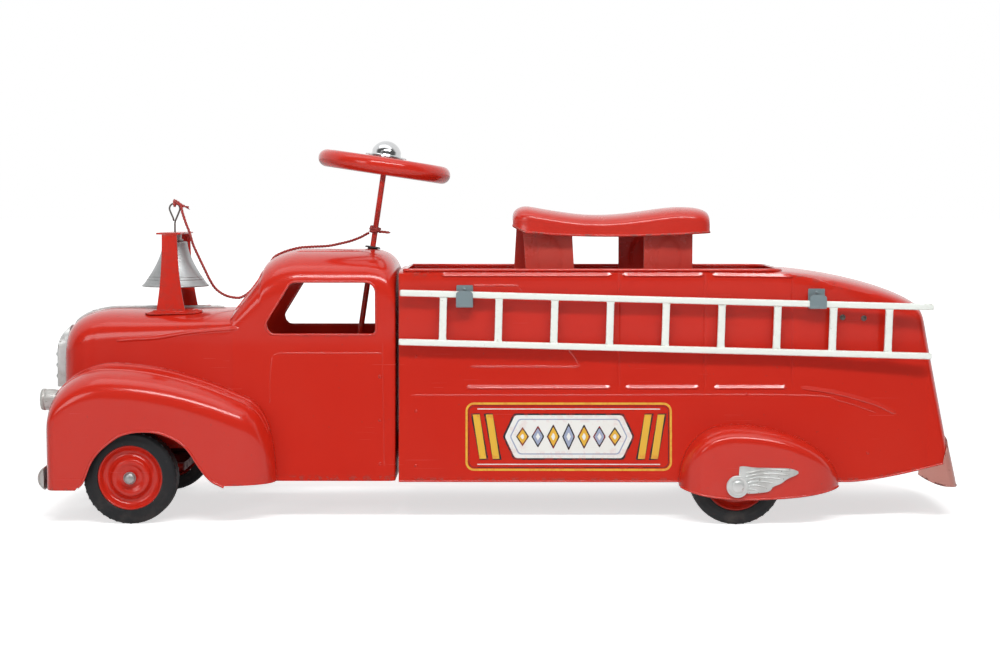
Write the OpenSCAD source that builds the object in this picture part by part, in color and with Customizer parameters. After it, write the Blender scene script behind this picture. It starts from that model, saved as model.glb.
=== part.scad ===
// Ride-on toy fire truck of pressed steel: front at -X, top at +Z, driver's left at -Y.
// Millimetres. The origin is on the floor, under the middle of the truck.

/* [Stance] */
// Distance between the two axles
wheelbase = 660; // [640:5:720]
// From the front axle to the face of the bumper
front_overhang = 110; // [108:1:125]
// From the rear axle to the tip of the tail step
rear_overhang = 256; // [255:1:262]
// Width over the fenders
fender_span = 284; // [280:1:300]
// From the outer face of a fender in to the middle plane of the tyre under it
tyre_inset = 22; // [20:1:24]

/* [Wheels] */
// Outside diameter of a tyre
tyre_d = 101.6; // [98:0.2:103]
// Width of a tyre
tyre_w = 22; // [18:1:23]
// Diameter of the tyre's seat on the disc
seat_d = 71; // [66:1:76]
// Diameter of the axle rods
axle_d = 8; // [6:0.5:9]
// How far the hub of a disc reaches inwards from the tyre's middle plane
hub_in = 13; // [10:0.5:14]
// How far the hub of a disc reaches outwards
hub_out = 9; // [7:0.5:10]

/* [Sheet metal] */
// Thickness of the pressed sheet
sheet = 1.2; // [0.8:0.1:1.6]
// Height of the lower edge of the body
sill_z = 43; // [40:1:48]
// From the outer face of a fender in to the side of the body above the waist
body_inset = 56; // [53:1:59]
// How far each side flares out from the waist down to the sill
flare = 14; // [10:1:16]
// Height at which the flare starts
waist_z = 200; // [180:5:204]

/* [Cab] */
// Height of the hood
hood_z = 229; // [222:1:234]
// Height of the roof
roof_z = 297; // [290:1:304]
// Half width of the hood just behind the nose
hood_half = 66; // [60:1:72]
// Half width of the flat front of the nose
nose_half = 30; // [28:1:34]
// From the front axle forwards to the front of the nose
nose_reach = 90; // [88:1:93]
// From the front axle back to the foot of the windscreen
cowl_back = 103; // [98:1:108]
// From the foot of the windscreen back to its top
screen_run = 33; // [28:1:38]
// From the front axle back to the rear wall of the cab
cab_back = 287; // [280:1:296]
// Height of the lower edge of the side windows
window_z = 205; // [202:1:212]

/* [Hose body] */
// Height of the rim round the open bed
rim_z = 276; // [270:1:282]
// Width of the rim on each side of the bed
rim_land = 6; // [5:0.5:9]
// Depth of the bed below the rim
bed_depth = 40; // [30:1:60]
// Gap between the cab and the hose body
body_gap = 4; // [3:0.5:8]
// From the rear axle back to the rear end of the open bed
bed_back = 56; // [40:1:60]
// From the rear axle back to the upper rear corner
deck_back = 217; // [212:1:219]
// How far the deck falls from the rim to that corner
deck_drop = 46; // [40:1:52]

/* [Fenders] */
// Height of a front fender
front_fender_z = 172; // [167:1:178]
// Height of a rear fender
rear_fender_z = 106; // [104:1:116]
// Lowest edge of a rear fender
skirt_z = 29; // [26:1:34]

/* [Steering] */
// Lean of the column to the rear, in degrees
lean = 8.6; // [7:0.2:10]
// From the front axle back to the column where it passes the roof
column_back = 256; // [250:1:262]
// Diameter of the column
column_d = 6.4; // [5:0.2:8]
// Height of the middle of the steering wheel
wheel_z = 391; // [380:1:400]
// Outside diameter of the steering wheel
wheel_d = 152; // [140:1:170]
// Thickness of the steering wheel's rim
rim_d = 19.5; // [14:0.5:22]
// Radius of the steering arm at the foot of the column
arm_r = 20; // [19:0.5:22]
// From the king bolt sideways to the link's hole in the carrier
link_y = 46.3; // [40:0.1:52]
// Diameter of the drag link's rod
link_d = 4; // [3:0.5:5]

/* [Bell] */
// Diameter of the bell's mouth
bell_d = 76; // [68:1:80]
// Height of the bell from its mouth to its shoulder
bell_h = 50; // [44:1:54]
// Wall of the bell
bell_wall = 1.6; // [1.2:0.1:2.2]
// From the front axle back to the middle of the bell
bell_back = 29; // [26:1:32]
// Height of the bracket's top plate
plate_z = 316; // [312:1:322]
// Between the inner faces of the bracket's legs
bracket_in = 86; // [84:1:92]
// Diameter of the striker's ball
ball_d = 14; // [10:0.5:15]
// From the pivot down to the ball
ball_drop = 50; // [44:0.5:50]
// Diameter of the bell rope
rope_d = 3.3; // [2.5:0.1:3.5]

/* [Seat] */
// Length of the saddle
seat_l = 222; // [200:1:228]
// Width of the saddle
seat_w = 112; // [96:1:124]
// Height of the saddle's front crest
seat_z = 348; // [336:1:360]
// Depth of the saddle's skirt below the crest
seat_skirt = 32; // [26:1:38]
// From the rear axle forwards to the front of the saddle
seat_fore = 243; // [238:1:252]
// Width of each leg of the seat's supports
leg_w = 55; // [40:1:60]

/* [Ladders] */
// Length of a ladder
ladder_l = 586; // [560:1:600]
// Between the middles of a ladder's rails
ladder_h = 54; // [48:1:58]
// Height of a rail
rail_h = 7; // [6:0.5:9]
// Thickness of a ladder
ladder_t = 7; // [5:0.5:8]
// Number of rungs
rungs = 9; // [7:1:10]
// From the hose body's front wall to a ladder's front end
ladder_fore = 2; // [1:1:8]
// Height of the upper rail at its front end
ladder_z = 251; // [248:1:253]
// Slope of a ladder down to the rear, in degrees
ladder_slope = 1.52; // [1:0.02:2]

/* [Hidden] */
$fn = 48;

// Gaps: pieces that rest on each other, and shafts that turn in a bore
seat_gap = 0.3;
run_gap = 0.06;

// Places of the main pieces
front_x = -(front_overhang + wheelbase + rear_overhang) / 2;
axle_f = front_x + front_overhang;
axle_r = axle_f + wheelbase;
tail_x = axle_r + rear_overhang;
hub_z = tyre_d / 2;
cab_end = axle_f + cab_back;
bed_x = cab_end + body_gap;
nose_x = axle_f - nose_reach;
fender_half = fender_span / 2;
half_w = fender_half - body_inset;
track = fender_span - 2 * tyre_inset;
bed_z = rim_z - bed_depth;
LEFT = -1;
RIGHT = 1;

// Curves that the pressings share
function ramp(x, a, b) = min(1, max(0, (x - a) / (b - a)));
function blunt(u, p) = u >= 1 ? 1 : u <= 0 ? 0 : pow(1 - pow(1 - u, p), 1 / p);
function side_out(z) = flare * pow(1 - ramp(z, sill_z, waist_z), 1.3);

// Points of a half outline from the sill up to the crown, as [distance from the middle, height]
function half_outline(w, low, shoulder, top, p, levels = 4, steps = 6) = concat(
  [for (k = [0 : levels - 1]) let (z = low + (shoulder - low) * k / levels) [w + side_out(z), z]],
  [for (i = [0 : steps]) let (a = 90 * i / steps)
    [(w + side_out(shoulder)) * pow(cos(a), 2 / p), shoulder + (top - shoulder) * pow(sin(a), 2 / p)]]
);
function both_sides(x, half) = concat(
  [for (q = half) [x, -q[0], q[1]]],
  [for (i = [len(half) - 2 : -1 : 0]) [x, half[i][0], half[i][1]]]
);

// Faces of a grid of points, and of the quads that close it
function quad(a, b, c, d) = [[a, b, c], [a, c, d]];
function flat(lists) = [for (l = lists) for (v = l) v];
function grid(n, m, at, flip) = flat([for (i = [0 : n - 2]) for (j = [0 : m - 2])
  let (a = at + i * m + j, b = a + 1, c = b + m, d = a + m)
  flip ? quad(a, d, c, b) : quad(a, b, c, d)]);
function cap(m, at, flip) = [for (j = [1 : m - 2]) flip ? [at, at + j + 1, at + j] : [at, at + j, at + j + 1]];

// A pressing that is closed at both ends and open underneath, from its outer and inner sections
module tub(outer, inner) {
  n = len(outer);
  m = len(outer[0]);
  k = n * m;
  last = (n - 1) * m;
  polyhedron(
    points = concat(flat(outer), flat(inner)),
    faces = concat(
      grid(n, m, 0, false), cap(m, 0, true), cap(m, last, false),
      grid(n, m, k, true), cap(m, k, false), cap(m, k + last, true),
      flat([for (i = [0 : n - 2]) let (a = i * m, b = a + m) quad(a, b, b + k, a + k)]),
      flat([for (i = [0 : n - 2]) let (a = i * m + m - 1, b = a + m) quad(a, a + k, b + k, b)]),
      quad(0, k, k + m - 1, m - 1),
      quad(last, last + m - 1, last + k + m - 1, last + k)
    )
  );
}

// A sheet between an outer and an inner grid of points, closed along its four edges
module sheet_loft(outer, inner) {
  n = len(outer);
  m = len(outer[0]);
  k = n * m;
  last = (n - 1) * m;
  polyhedron(
    points = concat(flat(outer), flat(inner)),
    faces = concat(
      grid(n, m, 0, false), grid(n, m, k, true),
      flat([for (i = [0 : n - 2]) let (a = i * m, b = a + m) quad(a, b, b + k, a + k)]),
      flat([for (i = [0 : n - 2]) let (a = i * m + m - 1, b = a + m) quad(a, a + k, b + k, b)]),
      flat([for (j = [0 : m - 2]) quad(j, j + k, j + k + 1, j + 1)]),
      flat([for (j = [0 : m - 2]) quad(last + j, last + j + 1, last + j + k + 1, last + j + k)])
    )
  );
}

// Cab pressing: hood, screen, roof and doors, by distance d behind the front axle
nose_drop = 33;
screen_rise = 20;
back_drop = 26;
wheel_room_z = 78;
screen_top = cowl_back + screen_run;
function cab_top(d) =
  d <= cowl_back ? hood_z - nose_drop * (1 - blunt((d + nose_reach) / 60, 2.2))
  : d <= screen_top ? hood_z + (roof_z - screen_rise - hood_z) * (d - cowl_back) / screen_run
  : roof_z - screen_rise * (1 - blunt((d - screen_top) / 44, 1.7)) - back_drop * (1 - blunt((cab_back - d) / 34, 2.2));
function hood_w(d) = hood_half + (half_w - hood_half) * ramp(d, -50, cowl_back + 4);
function cab_w(d) = nose_half + (hood_w(d) - nose_half) * blunt((d + nose_reach) / 40, 2.4)
  - 4 * (1 - blunt((cab_back - d) / 12, 2));
function cab_round(d) = 34 - 14 * ramp(d, -40, cowl_back) + 22 * ramp(d, cowl_back, screen_top);
function cab_low(d) = wheel_room_z - (wheel_room_z - sill_z) * ramp(d, 72, 92);
function cab_half(d, t) = half_outline(cab_w(d) - t, cab_low(d), cab_top(d) - cab_round(d), cab_top(d) - t, 2.4);
function hood_height(d, y) = let (s = cab_top(d) - cab_round(d))
  s + cab_round(d) * pow(1 - pow(abs(y) / (cab_w(d) + side_out(s)), 2.4), 1 / 2.4);
cab_stations = concat(
  [for (i = [0 : 8]) -nose_reach + 58 * pow(i / 8, 2)], [-15, 20, 50, 72, 92, cowl_back],
  [for (i = [1 : 3]) cowl_back + screen_run * i / 3],
  [for (i = [1 : 6]) screen_top + 44 * pow(i / 6, 1.6)], [cab_back - 60],
  [for (i = [6 : -1 : 0]) cab_back - 34 * pow(i / 6, 2)]
);
cab_last = len(cab_stations) - 1;
function cab_shift(i) = sheet * (1 - ramp(i, 0, 4)) - sheet * (1 - ramp(cab_last - i, 0, 4));

module cab_body() {
  tub(
    [for (d = cab_stations) both_sides(axle_f + d, cab_half(d, 0))],
    [for (i = [0 : cab_last]) both_sides(axle_f + cab_stations[i] + cab_shift(i), cab_half(cab_stations[i], sheet))]
  );
}

// Side window outline, seen from the left
window_front = cowl_back + 41;
window_rear = cab_back - 22;
window_top = roof_z - 35;
module window_shape() {
  r = 12;
  difference() {
    polygon([
      [axle_f + window_front, window_z], [axle_f + window_front - 1, window_z + 10],
      [axle_f + window_front + 32, window_top], [axle_f + window_rear, window_top],
      [axle_f + window_rear, window_z]
    ]);
    translate([axle_f + window_rear - r, window_top - r])
      difference() {
        square(r + 1);
        circle(r);
      }
  }
}

// Windscreen: two panes with a post between them, cut square to the slope
screen_half = 62;
post_half = 3;
module screen_cut() {
  slope = atan2(roof_z - screen_rise - hood_z, screen_run);
  length = norm([roof_z - screen_rise - hood_z, screen_run]);
  for (side = [LEFT, RIGHT])
    translate([axle_f + cowl_back, 0, hood_z])
      rotate([0, -slope, 0])
        translate([7, side < 0 ? -screen_half : post_half, -8])
          cube([length - 11, screen_half - post_half, 16]);
}

module cab_shell() {
  color("firebrick")
    difference() {
      cab_body();
      translate([0, half_w + 10, 0])
        rotate([90, 0, 0])
          linear_extrude(2 * half_w + 20)
            window_shape();
      screen_cut();
      translate([axle_f + column_back, 0, roof_z - 20])
        cylinder(r = bush_r + 0.5, h = 40);
      channel_notch();
    }
}

// Notch in both walls between cab and hose body, for the chassis channel to pass through
module channel_notch() {
  translate([cab_end - 10, -channel_w / 2 - 1, 0])
    cube([body_gap + 20, channel_w + 2, web_z + 1]);
}

// Hose body, by distance e behind the rear axle
rear_slope = 0.185;
end_round = 14;
deck_z = rim_z - deck_drop;
body_end = deck_back + 28;
function rear_e(z) = deck_back + (deck_z - z) * rear_slope;
function deck_top(e) = e <= deck_back
  ? rim_z - deck_drop * (1 - blunt((deck_back - e) / (deck_back - bed_back), 1.55))
  : deck_z - (e - deck_back) / rear_slope;
function hose_w(e) = half_w - 8 * pow(ramp(e, bed_back, deck_back), 1.5);
function hose_low(e) = sill_z - 1 + 22 * pow(ramp(e, 130, 247), 1.4);
function hose_round(e) = min(5 + 12 * ramp(e, bed_back - 8, 150), 0.5 * (deck_top(e) - hose_low(e)));
function hose_half(e, t) = let (
    low = hose_low(e), top = min(deck_top(e) - t, deck_top(e + 1.3 * t)), r = hose_round(e)
  ) [for (q = half_outline(hose_w(e) - t, low, top - r, top, 2.5, 5, 6))
    [q[0] * blunt((rear_e(q[1]) - 1.3 * t - e) / end_round, 3), q[1]]];
hose_stations = concat(
  [for (k = [0, 0.5, 1]) (bed_x - axle_r) * (1 - k) + (bed_back - 30) * k], [bed_back],
  [for (i = [7 : -1 : 0]) deck_back - (deck_back - bed_back - 8) * pow(i / 7.5, 1.6)],
  [for (i = [1 : 7]) deck_back + 28 * i / 7]
);
hose_last = len(hose_stations) - 1;
function hose_shift(i) = i == 0 ? sheet : i == hose_last ? -sheet : 0;

// The opening of the bed: square at the front, round at the rear corners
module bed_opening() {
  r = 22;
  from = bed_x + rim_land;
  to = axle_r + bed_back;
  w = half_w - rim_land;
  translate([from, -w])
    square([to - r - from, 2 * w]);
  translate([to - r - 1, r - w])
    square([r + 1, 2 * (w - r)]);
  for (side = [LEFT, RIGHT])
    translate([to - r, side * (w - r)])
      circle(r);
}

module hose_body() {
  color("firebrick")
    difference() {
      tub(
        [for (e = hose_stations) both_sides(axle_r + e, hose_half(e, 0))],
        [for (i = [0 : hose_last]) let (e = hose_stations[i] + hose_shift(i)) both_sides(axle_r + e, hose_half(e, sheet))]
      );
      translate([0, 0, bed_z + 4])
        linear_extrude(bed_depth + 20)
          bed_opening();
      channel_notch();
      for (side = [LEFT, RIGHT])
        translate([axle_r, side * half_w, 0])
          rotate([90, 0, 0])
            union() {
              translate([0, hub_z, -30])
                cylinder(r = slot_r, h = 60);
              translate([-slot_r, 0, -30])
                cube([2 * slot_r, hub_z, 60]);
            }
    }
}

// Floor of the bed, folded down along its sides, with a raised field in front of the saddle
floor_back = 150;
fold = 14;
pad_up = 0.8;
pad_half = 74;
module bed_pad(inset, low, high) {
  x1 = bed_x + 10 + inset;
  x2 = seat_x - 7 - inset;
  translate([x1, inset - pad_half, low])
    cube([x2 - x1, 2 * (pad_half - inset), high - low]);
}

module bed_floor() {
  w1 = half_w - sheet - seat_gap;
  w2 = hose_w(floor_back) - sheet - 1;
  x1 = bed_x + sheet + seat_gap;
  x2 = axle_r + bed_back;
  x3 = axle_r + floor_back;
  color("firebrick")
    difference() {
      union() {
        translate([0, 0, bed_z - fold])
          linear_extrude(fold)
            polygon([[x1, -w1], [x2, -w1], [x3, -w2], [x3, w2], [x2, w1], [x1, w1]]);
        bed_pad(0, bed_z - 0.6, bed_z + pad_up);
      }
      bed_pad(sheet, bed_z - 3, bed_z + pad_up - sheet);
      translate([0, 0, bed_z - fold - 1])
        linear_extrude(fold + 1 - sheet)
          polygon([[x1 + sheet, sheet - w1], [x2, sheet - w1], [x3 + 1, sheet - w2], [x3 + 1, w2 - sheet],
            [x2, w1 - sheet], [x1 + sheet, w1 - sheet]]);
      for (q = foot_bolts)
        translate([q[0], q[1], bed_z - 5])
          cylinder(d = bolt_d + 0.4, h = 10);
    }
}

// Fenders: a round top that runs out from the body and a side that drops to its hem
function pontoon(x, y_in, w, low, top, r, t, p = 2.3, steps = 6, levels = 3) = concat(
  [for (i = [0 : steps]) let (a = 90 * i / steps)
    [x, y_in + (w - t - y_in) * pow(sin(a), 2 / p), top - r + (r - t) * pow(cos(a), 2 / p)]],
  [for (k = [1 : levels]) [x, w - t, top - r + (low - top + r) * k / levels]]
);

fender_nose = 98;
fender_end = 156;
fender_fall = 41;
fender_flat = 74;
fender_low = 38.5;
function ff_top(d) = front_fender_z - 62 * (1 - blunt((d + fender_nose) / 70, 1.9))
  - fender_fall * pow(ramp(d, -27, 133), 1.9)
  - (front_fender_z - fender_fall - 44) * (1 - blunt((fender_end - d) / 30, 2));
function ff_in(d, z) = cab_w(max(d, -nose_reach)) + side_out(z) + 1.3 * seat_gap + 2.4 * (1 - ramp(d, -92, -58));
function ff_w(d) = let (i = cab_w(max(d, -nose_reach)) + side_out(cab_low(d)) + sheet + 3 * seat_gap)
  i + (fender_half - i) * min(blunt((d + fender_nose) / 20, 2.6), blunt((fender_end - d) / 60, 2.2));
function ff_low(d) = fender_low + 5 * ramp(d, 0, 100);
function ff_round(d) = min(34, 0.5 * (ff_top(d) - ff_low(d)));
ff_stations = concat(
  [for (i = [0 : 8]) -fender_nose + 72 * pow(i / 8, 2)], [5, 30, 52, fender_flat],
  [for (i = [8 : -1 : 0]) fender_end - 80 * pow(i / 9, 2)]
);
ff_last = len(ff_stations) - 1;
function ff_shift(i) = sheet * (1 - ramp(i, 0, 4)) - sheet * (1 - ramp(ff_last - i, 0, 4));

// Wheel arch of a front fender, seen from the side
arch = [[-62, 0], [-59.5, 36], [-55, 41.5], [-50.2, 46], [-47, 53], [-41.7, 66.4], [-35.5, 76.5], [-27.5, 85], [-12.5, 96.4],
  [-1.5, 100.8], [10.1, 102.9], [25.2, 102.9], [34.5, 101.3], [43.6, 98.1], [54, 92.8], [62.9, 85.9], [69, 78.3], [74.1, 69.9],
  [83.4, 56.7], [88, 51.5], [93, 47.4], [100.5, 43.9], [108, 40], [112, 0]];
module arch_shape() {
  translate([axle_f, 0])
    polygon(arch);
}

module front_fender(side) {
  color("firebrick")
    scale([1, side, 1])
      difference() {
        sheet_loft(
          [for (d = ff_stations) pontoon(axle_f + d, ff_in(d, ff_top(d)), ff_w(d), ff_low(d), ff_top(d), ff_round(d), 0)],
          [for (i = [0 : ff_last]) let (d = ff_stations[i])
            pontoon(axle_f + d + ff_shift(i), ff_in(d + ff_shift(i), ff_top(d) - sheet), ff_w(d), ff_low(d), ff_top(d), ff_round(d), sheet)]
        );
        translate([0, fender_half + 20, 0])
          rotate([90, 0, 0])
            linear_extrude(40)
              arch_shape();
        lamp_place(RIGHT)
          lamp(seat_gap);
      }
}

rear_fore = 60;
rear_aft = 116;
function rf_top(e) = 40 + (rear_fender_z - 40) * (e < 0 ? blunt((e + rear_fore) / rear_fore, 2.2) : blunt((rear_aft - e) / rear_aft, 2));
function rf_in(e, z) = hose_w(e) + side_out(max(sill_z, z)) + seat_gap;
function rf_w(e) = let (i = hose_w(e) + side_out(sill_z) + sheet + 2 * seat_gap)
  i + (fender_half - i) * min(blunt((e + rear_fore) / 34, 2.2), blunt((rear_aft - e) / 56, 2));
function rf_low(e) = skirt_z + 10 * pow(abs(e - 8) / (e < 8 ? rear_fore + 8 : rear_aft - 8), 2);
function rf_round(e) = min(18, 0.6 * (rf_top(e) - rf_low(e)));
rf_stations = concat(
  [for (i = [0 : 7]) -rear_fore + 50 * pow(i / 7, 2)], [8, 24],
  [for (i = [8 : -1 : 0]) rear_aft - 78 * pow(i / 8, 1.8)]
);
rf_last = len(rf_stations) - 1;
function rf_shift(i) = sheet * (1 - ramp(i, 0, 3)) - sheet * (1 - ramp(rf_last - i, 0, 3));

module rear_fender(side) {
  color("firebrick")
    scale([1, side, 1])
      sheet_loft(
        [for (e = rf_stations) pontoon(axle_r + e, rf_in(e, rf_top(e)), rf_w(e), rf_low(e), rf_top(e), rf_round(e), 0, 3.2)],
        [for (i = [0 : rf_last]) let (e = rf_stations[i])
          pontoon(axle_r + e + rf_shift(i), rf_in(e + rf_shift(i), rf_top(e) - sheet), rf_w(e), rf_low(e), rf_top(e), rf_round(e), sheet, 3.2)]
      );
}

// Tail step: an apron under the hem of the sides that wraps the rear and flares out
step_top = 37;
step_hem = 17;
step_z = 52;
step_fore = 11;
module tail_step() {
  rows = 4;
  turns = 24;
  rest = 2 * seat_gap + sheet;
  out_max = max(tail_x - axle_r - rear_e(step_z - step_hem), rest + 0.8);
  from = deck_back - step_fore;
  corner = rear_e(60) - end_round;
  function edge(j, t) = [for (i = [0 : turns]) let (
      q = 2 * i / turns - 1,
      v = max(0, 3 * abs(q) - 2),
      a = 135 * max(-2 / 3, min(2 / 3, q)),
      c = v > 0 ? 0 : pow(max(0, cos(a)), 0.5),
      deep = v > 0 ? 0.86 * (1 - pow(v, 1.6)) : 0.86 + 0.14 * cos(a),
      under = hose_low(corner - v * (corner - from)) - 2 * seat_gap,
      top = under + (step_z + step_top - under) * c,
      low = step_z - 1 - (step_hem - 1) * deep,
      k = j / rows,
      z = top - k * (top - low),
      out = rest - t + (out_max - rest) * k * deep,
      er = rear_e(z) - end_round,
      e = er - v * (er - from)
    ) [axle_r + e + (end_round + out) * pow(max(0, cos(a)), 2 / 3),
      sign(q) * (hose_w(e) + side_out(z) + out) * pow(abs(sin(a)), 2 / 3), z]];
  color("firebrick")
    sheet_loft([for (j = [0 : rows]) edge(j, 0)], [for (j = [0 : rows]) edge(j, sheet)]);
}

// Chassis: an inverted channel along the middle, with cross members to the body's sides
web_z = 86;
channel_w = 25;
channel_h = 20;
gauge = 1.5;
cross_cab = [118];
cross_hose = [-350, -130, 140];
cross_z = 80;
cross_h = 8;
cross_l = 20;
module chassis_channel() {
  from = nose_x + 10;
  to = axle_r + 150;
  color("firebrick")
    difference() {
      translate([from, -channel_w / 2, web_z - channel_h])
        cube([to - from, channel_w, channel_h]);
      translate([from - 1, gauge - channel_w / 2, web_z - channel_h - 1])
        cube([to - from + 2, channel_w - 2 * gauge, channel_h + 1 - gauge]);
      translate([axle_f, 0, web_z - 5])
        cylinder(d = king_d + 2 * run_gap, h = 10);
      on_column(web_z)
        cylinder(r = bearing_r + 0.1, h = 20, center = true);
    }
}

module cross_member(x, reach) {
  from = channel_w / 2 + seat_gap;
  for (side = [LEFT, RIGHT])
    translate([x - cross_l / 2, side < 0 ? -reach : from, cross_z - cross_h / 2])
      difference() {
        cube([cross_l, reach - from, cross_h]);
        translate([gauge, -1, -1])
          cube([cross_l - 2 * gauge, reach - from + 2, cross_h + 1 - gauge]);
      }
}

module cross_members() {
  color("firebrick") {
    for (d = cross_cab)
      cross_member(axle_f + d, cab_w(d) + side_out(cross_z + cross_h / 2) - sheet - seat_gap);
    for (e = cross_hose)
      cross_member(axle_r + e, hose_w(e + cross_l / 2) + side_out(cross_z + cross_h / 2) - sheet - seat_gap);
  }
}

// Rear axle hangers: one bracket folded down on both sides
flange_half = half_w + 2;
hanger_l = 40;
module rear_axle_hangers() {
  color("firebrick")
    difference() {
      translate([axle_r - hanger_l / 2, -flange_half, hub_z - 12])
        cube([hanger_l, 2 * flange_half, web_z + seat_gap + gauge - hub_z + 12]);
      translate([axle_r - hanger_l, gauge - flange_half, 0])
        cube([2 * hanger_l, 2 * (flange_half - gauge), web_z + seat_gap]);
      translate([axle_r, 0, hub_z])
        rotate([90, 0, 0])
          cylinder(d = axle_d + 2 * run_gap, h = 3 * flange_half, center = true);
    }
}

// Front axle carrier: turns about the king bolt, with a hole for the drag link
carrier_top = 62;
carrier_t = 1.6;
carrier_l = 104;
link_play = 1.5;
module front_axle_carrier() {
  color("darkred")
    difference() {
      union() {
        translate([axle_f - carrier_l / 2, -flange_half, carrier_top - carrier_t])
          cube([carrier_l, 2 * flange_half, carrier_t]);
        for (side = [LEFT, RIGHT])
          translate([axle_f - 24, side < 0 ? -flange_half : flange_half - carrier_t, hub_z - 10])
            cube([48, carrier_t, carrier_top - hub_z + 10]);
        for (end = [-1, 1])
          translate([axle_f + end * (carrier_l - carrier_t) / 2 - carrier_t / 2, -flange_half, carrier_top - 9])
            cube([carrier_t, 2 * flange_half, 9]);
      }
      translate([axle_f, 0, hub_z])
        rotate([90, 0, 0])
          cylinder(d = axle_d + 2 * run_gap, h = 3 * flange_half, center = true);
      translate([axle_f, 0, carrier_top - 10])
        cylinder(d = king_d + 2 * run_gap, h = 20);
      translate([axle_f, link_y, carrier_top - 10])
        cylinder(r = link_d / 2 + link_play, h = 20);
    }
}

// King bolt with its nut, and the spacer that the carrier turns against
king_d = 8;
module king_bolt() {
  nut_h = min(4, carrier_top - carrier_t - hub_z - axle_d / 2 - 1);
  color("silver") {
    translate([axle_f, 0, carrier_top - carrier_t - seat_gap - nut_h])
      cylinder(d = king_d, h = web_z + seat_gap + carrier_t + nut_h - carrier_top + 1);
    translate([axle_f, 0, web_z])
      cylinder(r = king_d, h = 5, $fn = 6);
    translate([axle_f, 0, carrier_top - carrier_t - seat_gap - nut_h])
      cylinder(r = king_d - 0.5, h = nut_h, $fn = 6);
  }
}

module king_spacer() {
  color("silver")
    translate([axle_f, 0, carrier_top + seat_gap])
      difference() {
        cylinder(d = king_d + 8, h = web_z - gauge - carrier_top - 2 * seat_gap);
        translate([0, 0, -1])
          cylinder(d = king_d + 2 * run_gap, h = web_z);
      }
}

// Axles, spacers, caps and wheels
axle_half = track / 2 + hub_out + 5;
cap_h = 7;
module axle_rod(x) {
  color("silver")
    translate([x, axle_half, hub_z])
      rotate([90, 0, 0])
        cylinder(d = axle_d, h = 2 * axle_half);
}

spacer_r = axle_d / 2 + 3;
slot_r = spacer_r + 2;
module axle_spacers(x) {
  from = flange_half + seat_gap / 2;
  to = track / 2 - hub_in - seat_gap / 2;
  color("silver")
    for (side = [LEFT, RIGHT])
      on_axle(x, side)
        translate([0, 0, from])
          difference() {
            cylinder(r = spacer_r, h = to - from);
            translate([0, 0, -1])
              cylinder(r = axle_d / 2 + run_gap, h = to - from + 2);
          }
}

module on_axle(x, side) {
  translate([x, 0, hub_z])
    rotate([side < 0 ? 90 : -90, 0, 0])
      children();
}

module axle_caps(x) {
  r = axle_d / 2 + 2.5;
  color("silver")
    for (side = [LEFT, RIGHT])
      on_axle(x, side)
        translate([0, 0, track / 2 + hub_out + seat_gap])
          difference() {
            union() {
              cylinder(r = r, h = cap_h - r * 0.6);
              translate([0, 0, cap_h - r * 0.6 - r * 0.5])
                intersection() {
                  sphere(r * 1.15);
                  cylinder(r = r, h = 2 * r);
                }
            }
            translate([0, 0, -1])
              cylinder(r = axle_d / 2 + run_gap, h = axle_half - track / 2 - hub_out + 1);
          }
}

module tyre(x, side) {
  shoulder = 4.8;
  w = tyre_w / 2;
  r = tyre_d / 2;
  color("dimgray")
    on_axle(x, side)
      translate([0, 0, track / 2])
        rotate_extrude()
          union() {
            translate([seat_d / 2, -w])
              square([r - shoulder - seat_d / 2, 2 * w]);
            translate([r - shoulder - 1, shoulder - w])
              square([shoulder + 1, 2 * (w - shoulder)]);
            for (end = [-1, 1])
              translate([r - shoulder, end * (w - shoulder)])
                circle(shoulder);
          }
}

// Wheel disc: a pressed face with a raised ring, a barrel and a hub
module wheel_disc(x, side) {
  rim = seat_d / 2 - 0.1;
  k = rim / 35.4;
  hub_r = axle_d / 2 + 2.6;
  bore_r = axle_d / 2 + run_gap;
  face = [[hub_r, 6.5], [12 * k, 7], [16.5 * k, 8.6], [20 * k, 8], [23 * k, 4], [27 * k, 2.4],
    [30.5 * k, 4], [32.6 * k, 7.6]];
  color("firebrick")
    on_axle(x, side)
      translate([0, 0, track / 2])
        rotate_extrude()
          polygon(concat(
            [[bore_r, -hub_in], [hub_r, -hub_in]],
            [for (q = face) q - [0, 1.6]],
            [[rim - 1.6, 7], [rim - 1.6, -9], [rim, -9], [rim, 9]],
            [for (i = [len(face) - 1 : -1 : 0]) face[i]],
            [[hub_r, hub_out], [bore_r, hub_out]]
          ));
}

// Steering column and what is on it; local +Z runs up along the leaning column
column_x = axle_f + column_back;
function on_lean(z) = column_x + (z - roof_z) * tan(lean);
module on_column(z) {
  translate([on_lean(z), 0, z])
    rotate([0, lean, 0])
      children();
}

arm_z = 62;
arm_t = 3;
bearing_r = 5;
bush_r = 6.6;
module steering_column() {
  color("firebrick")
    on_column(arm_z)
      translate([0, 0, -arm_t / 2])
        cylinder(d = column_d, h = (wheel_z - arm_z) / cos(lean) + arm_t / 2 + 8);
}

module steering_arm() {
  color("silver")
    on_column(arm_z)
      difference() {
        translate([0, 0, -arm_t / 2])
          linear_extrude(arm_t)
            union() {
              circle(column_d / 2 + 3);
              translate([0, arm_r])
                circle(link_d / 2 + 3);
              translate([-link_d / 2 - 3, 0])
                square([link_d + 6, arm_r]);
            }
        cylinder(r = column_d / 2 + run_gap, h = 20, center = true);
        translate([0, arm_r, 0])
          cylinder(r = link_d / 2 + run_gap, h = 20, center = true);
      }
}

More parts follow.
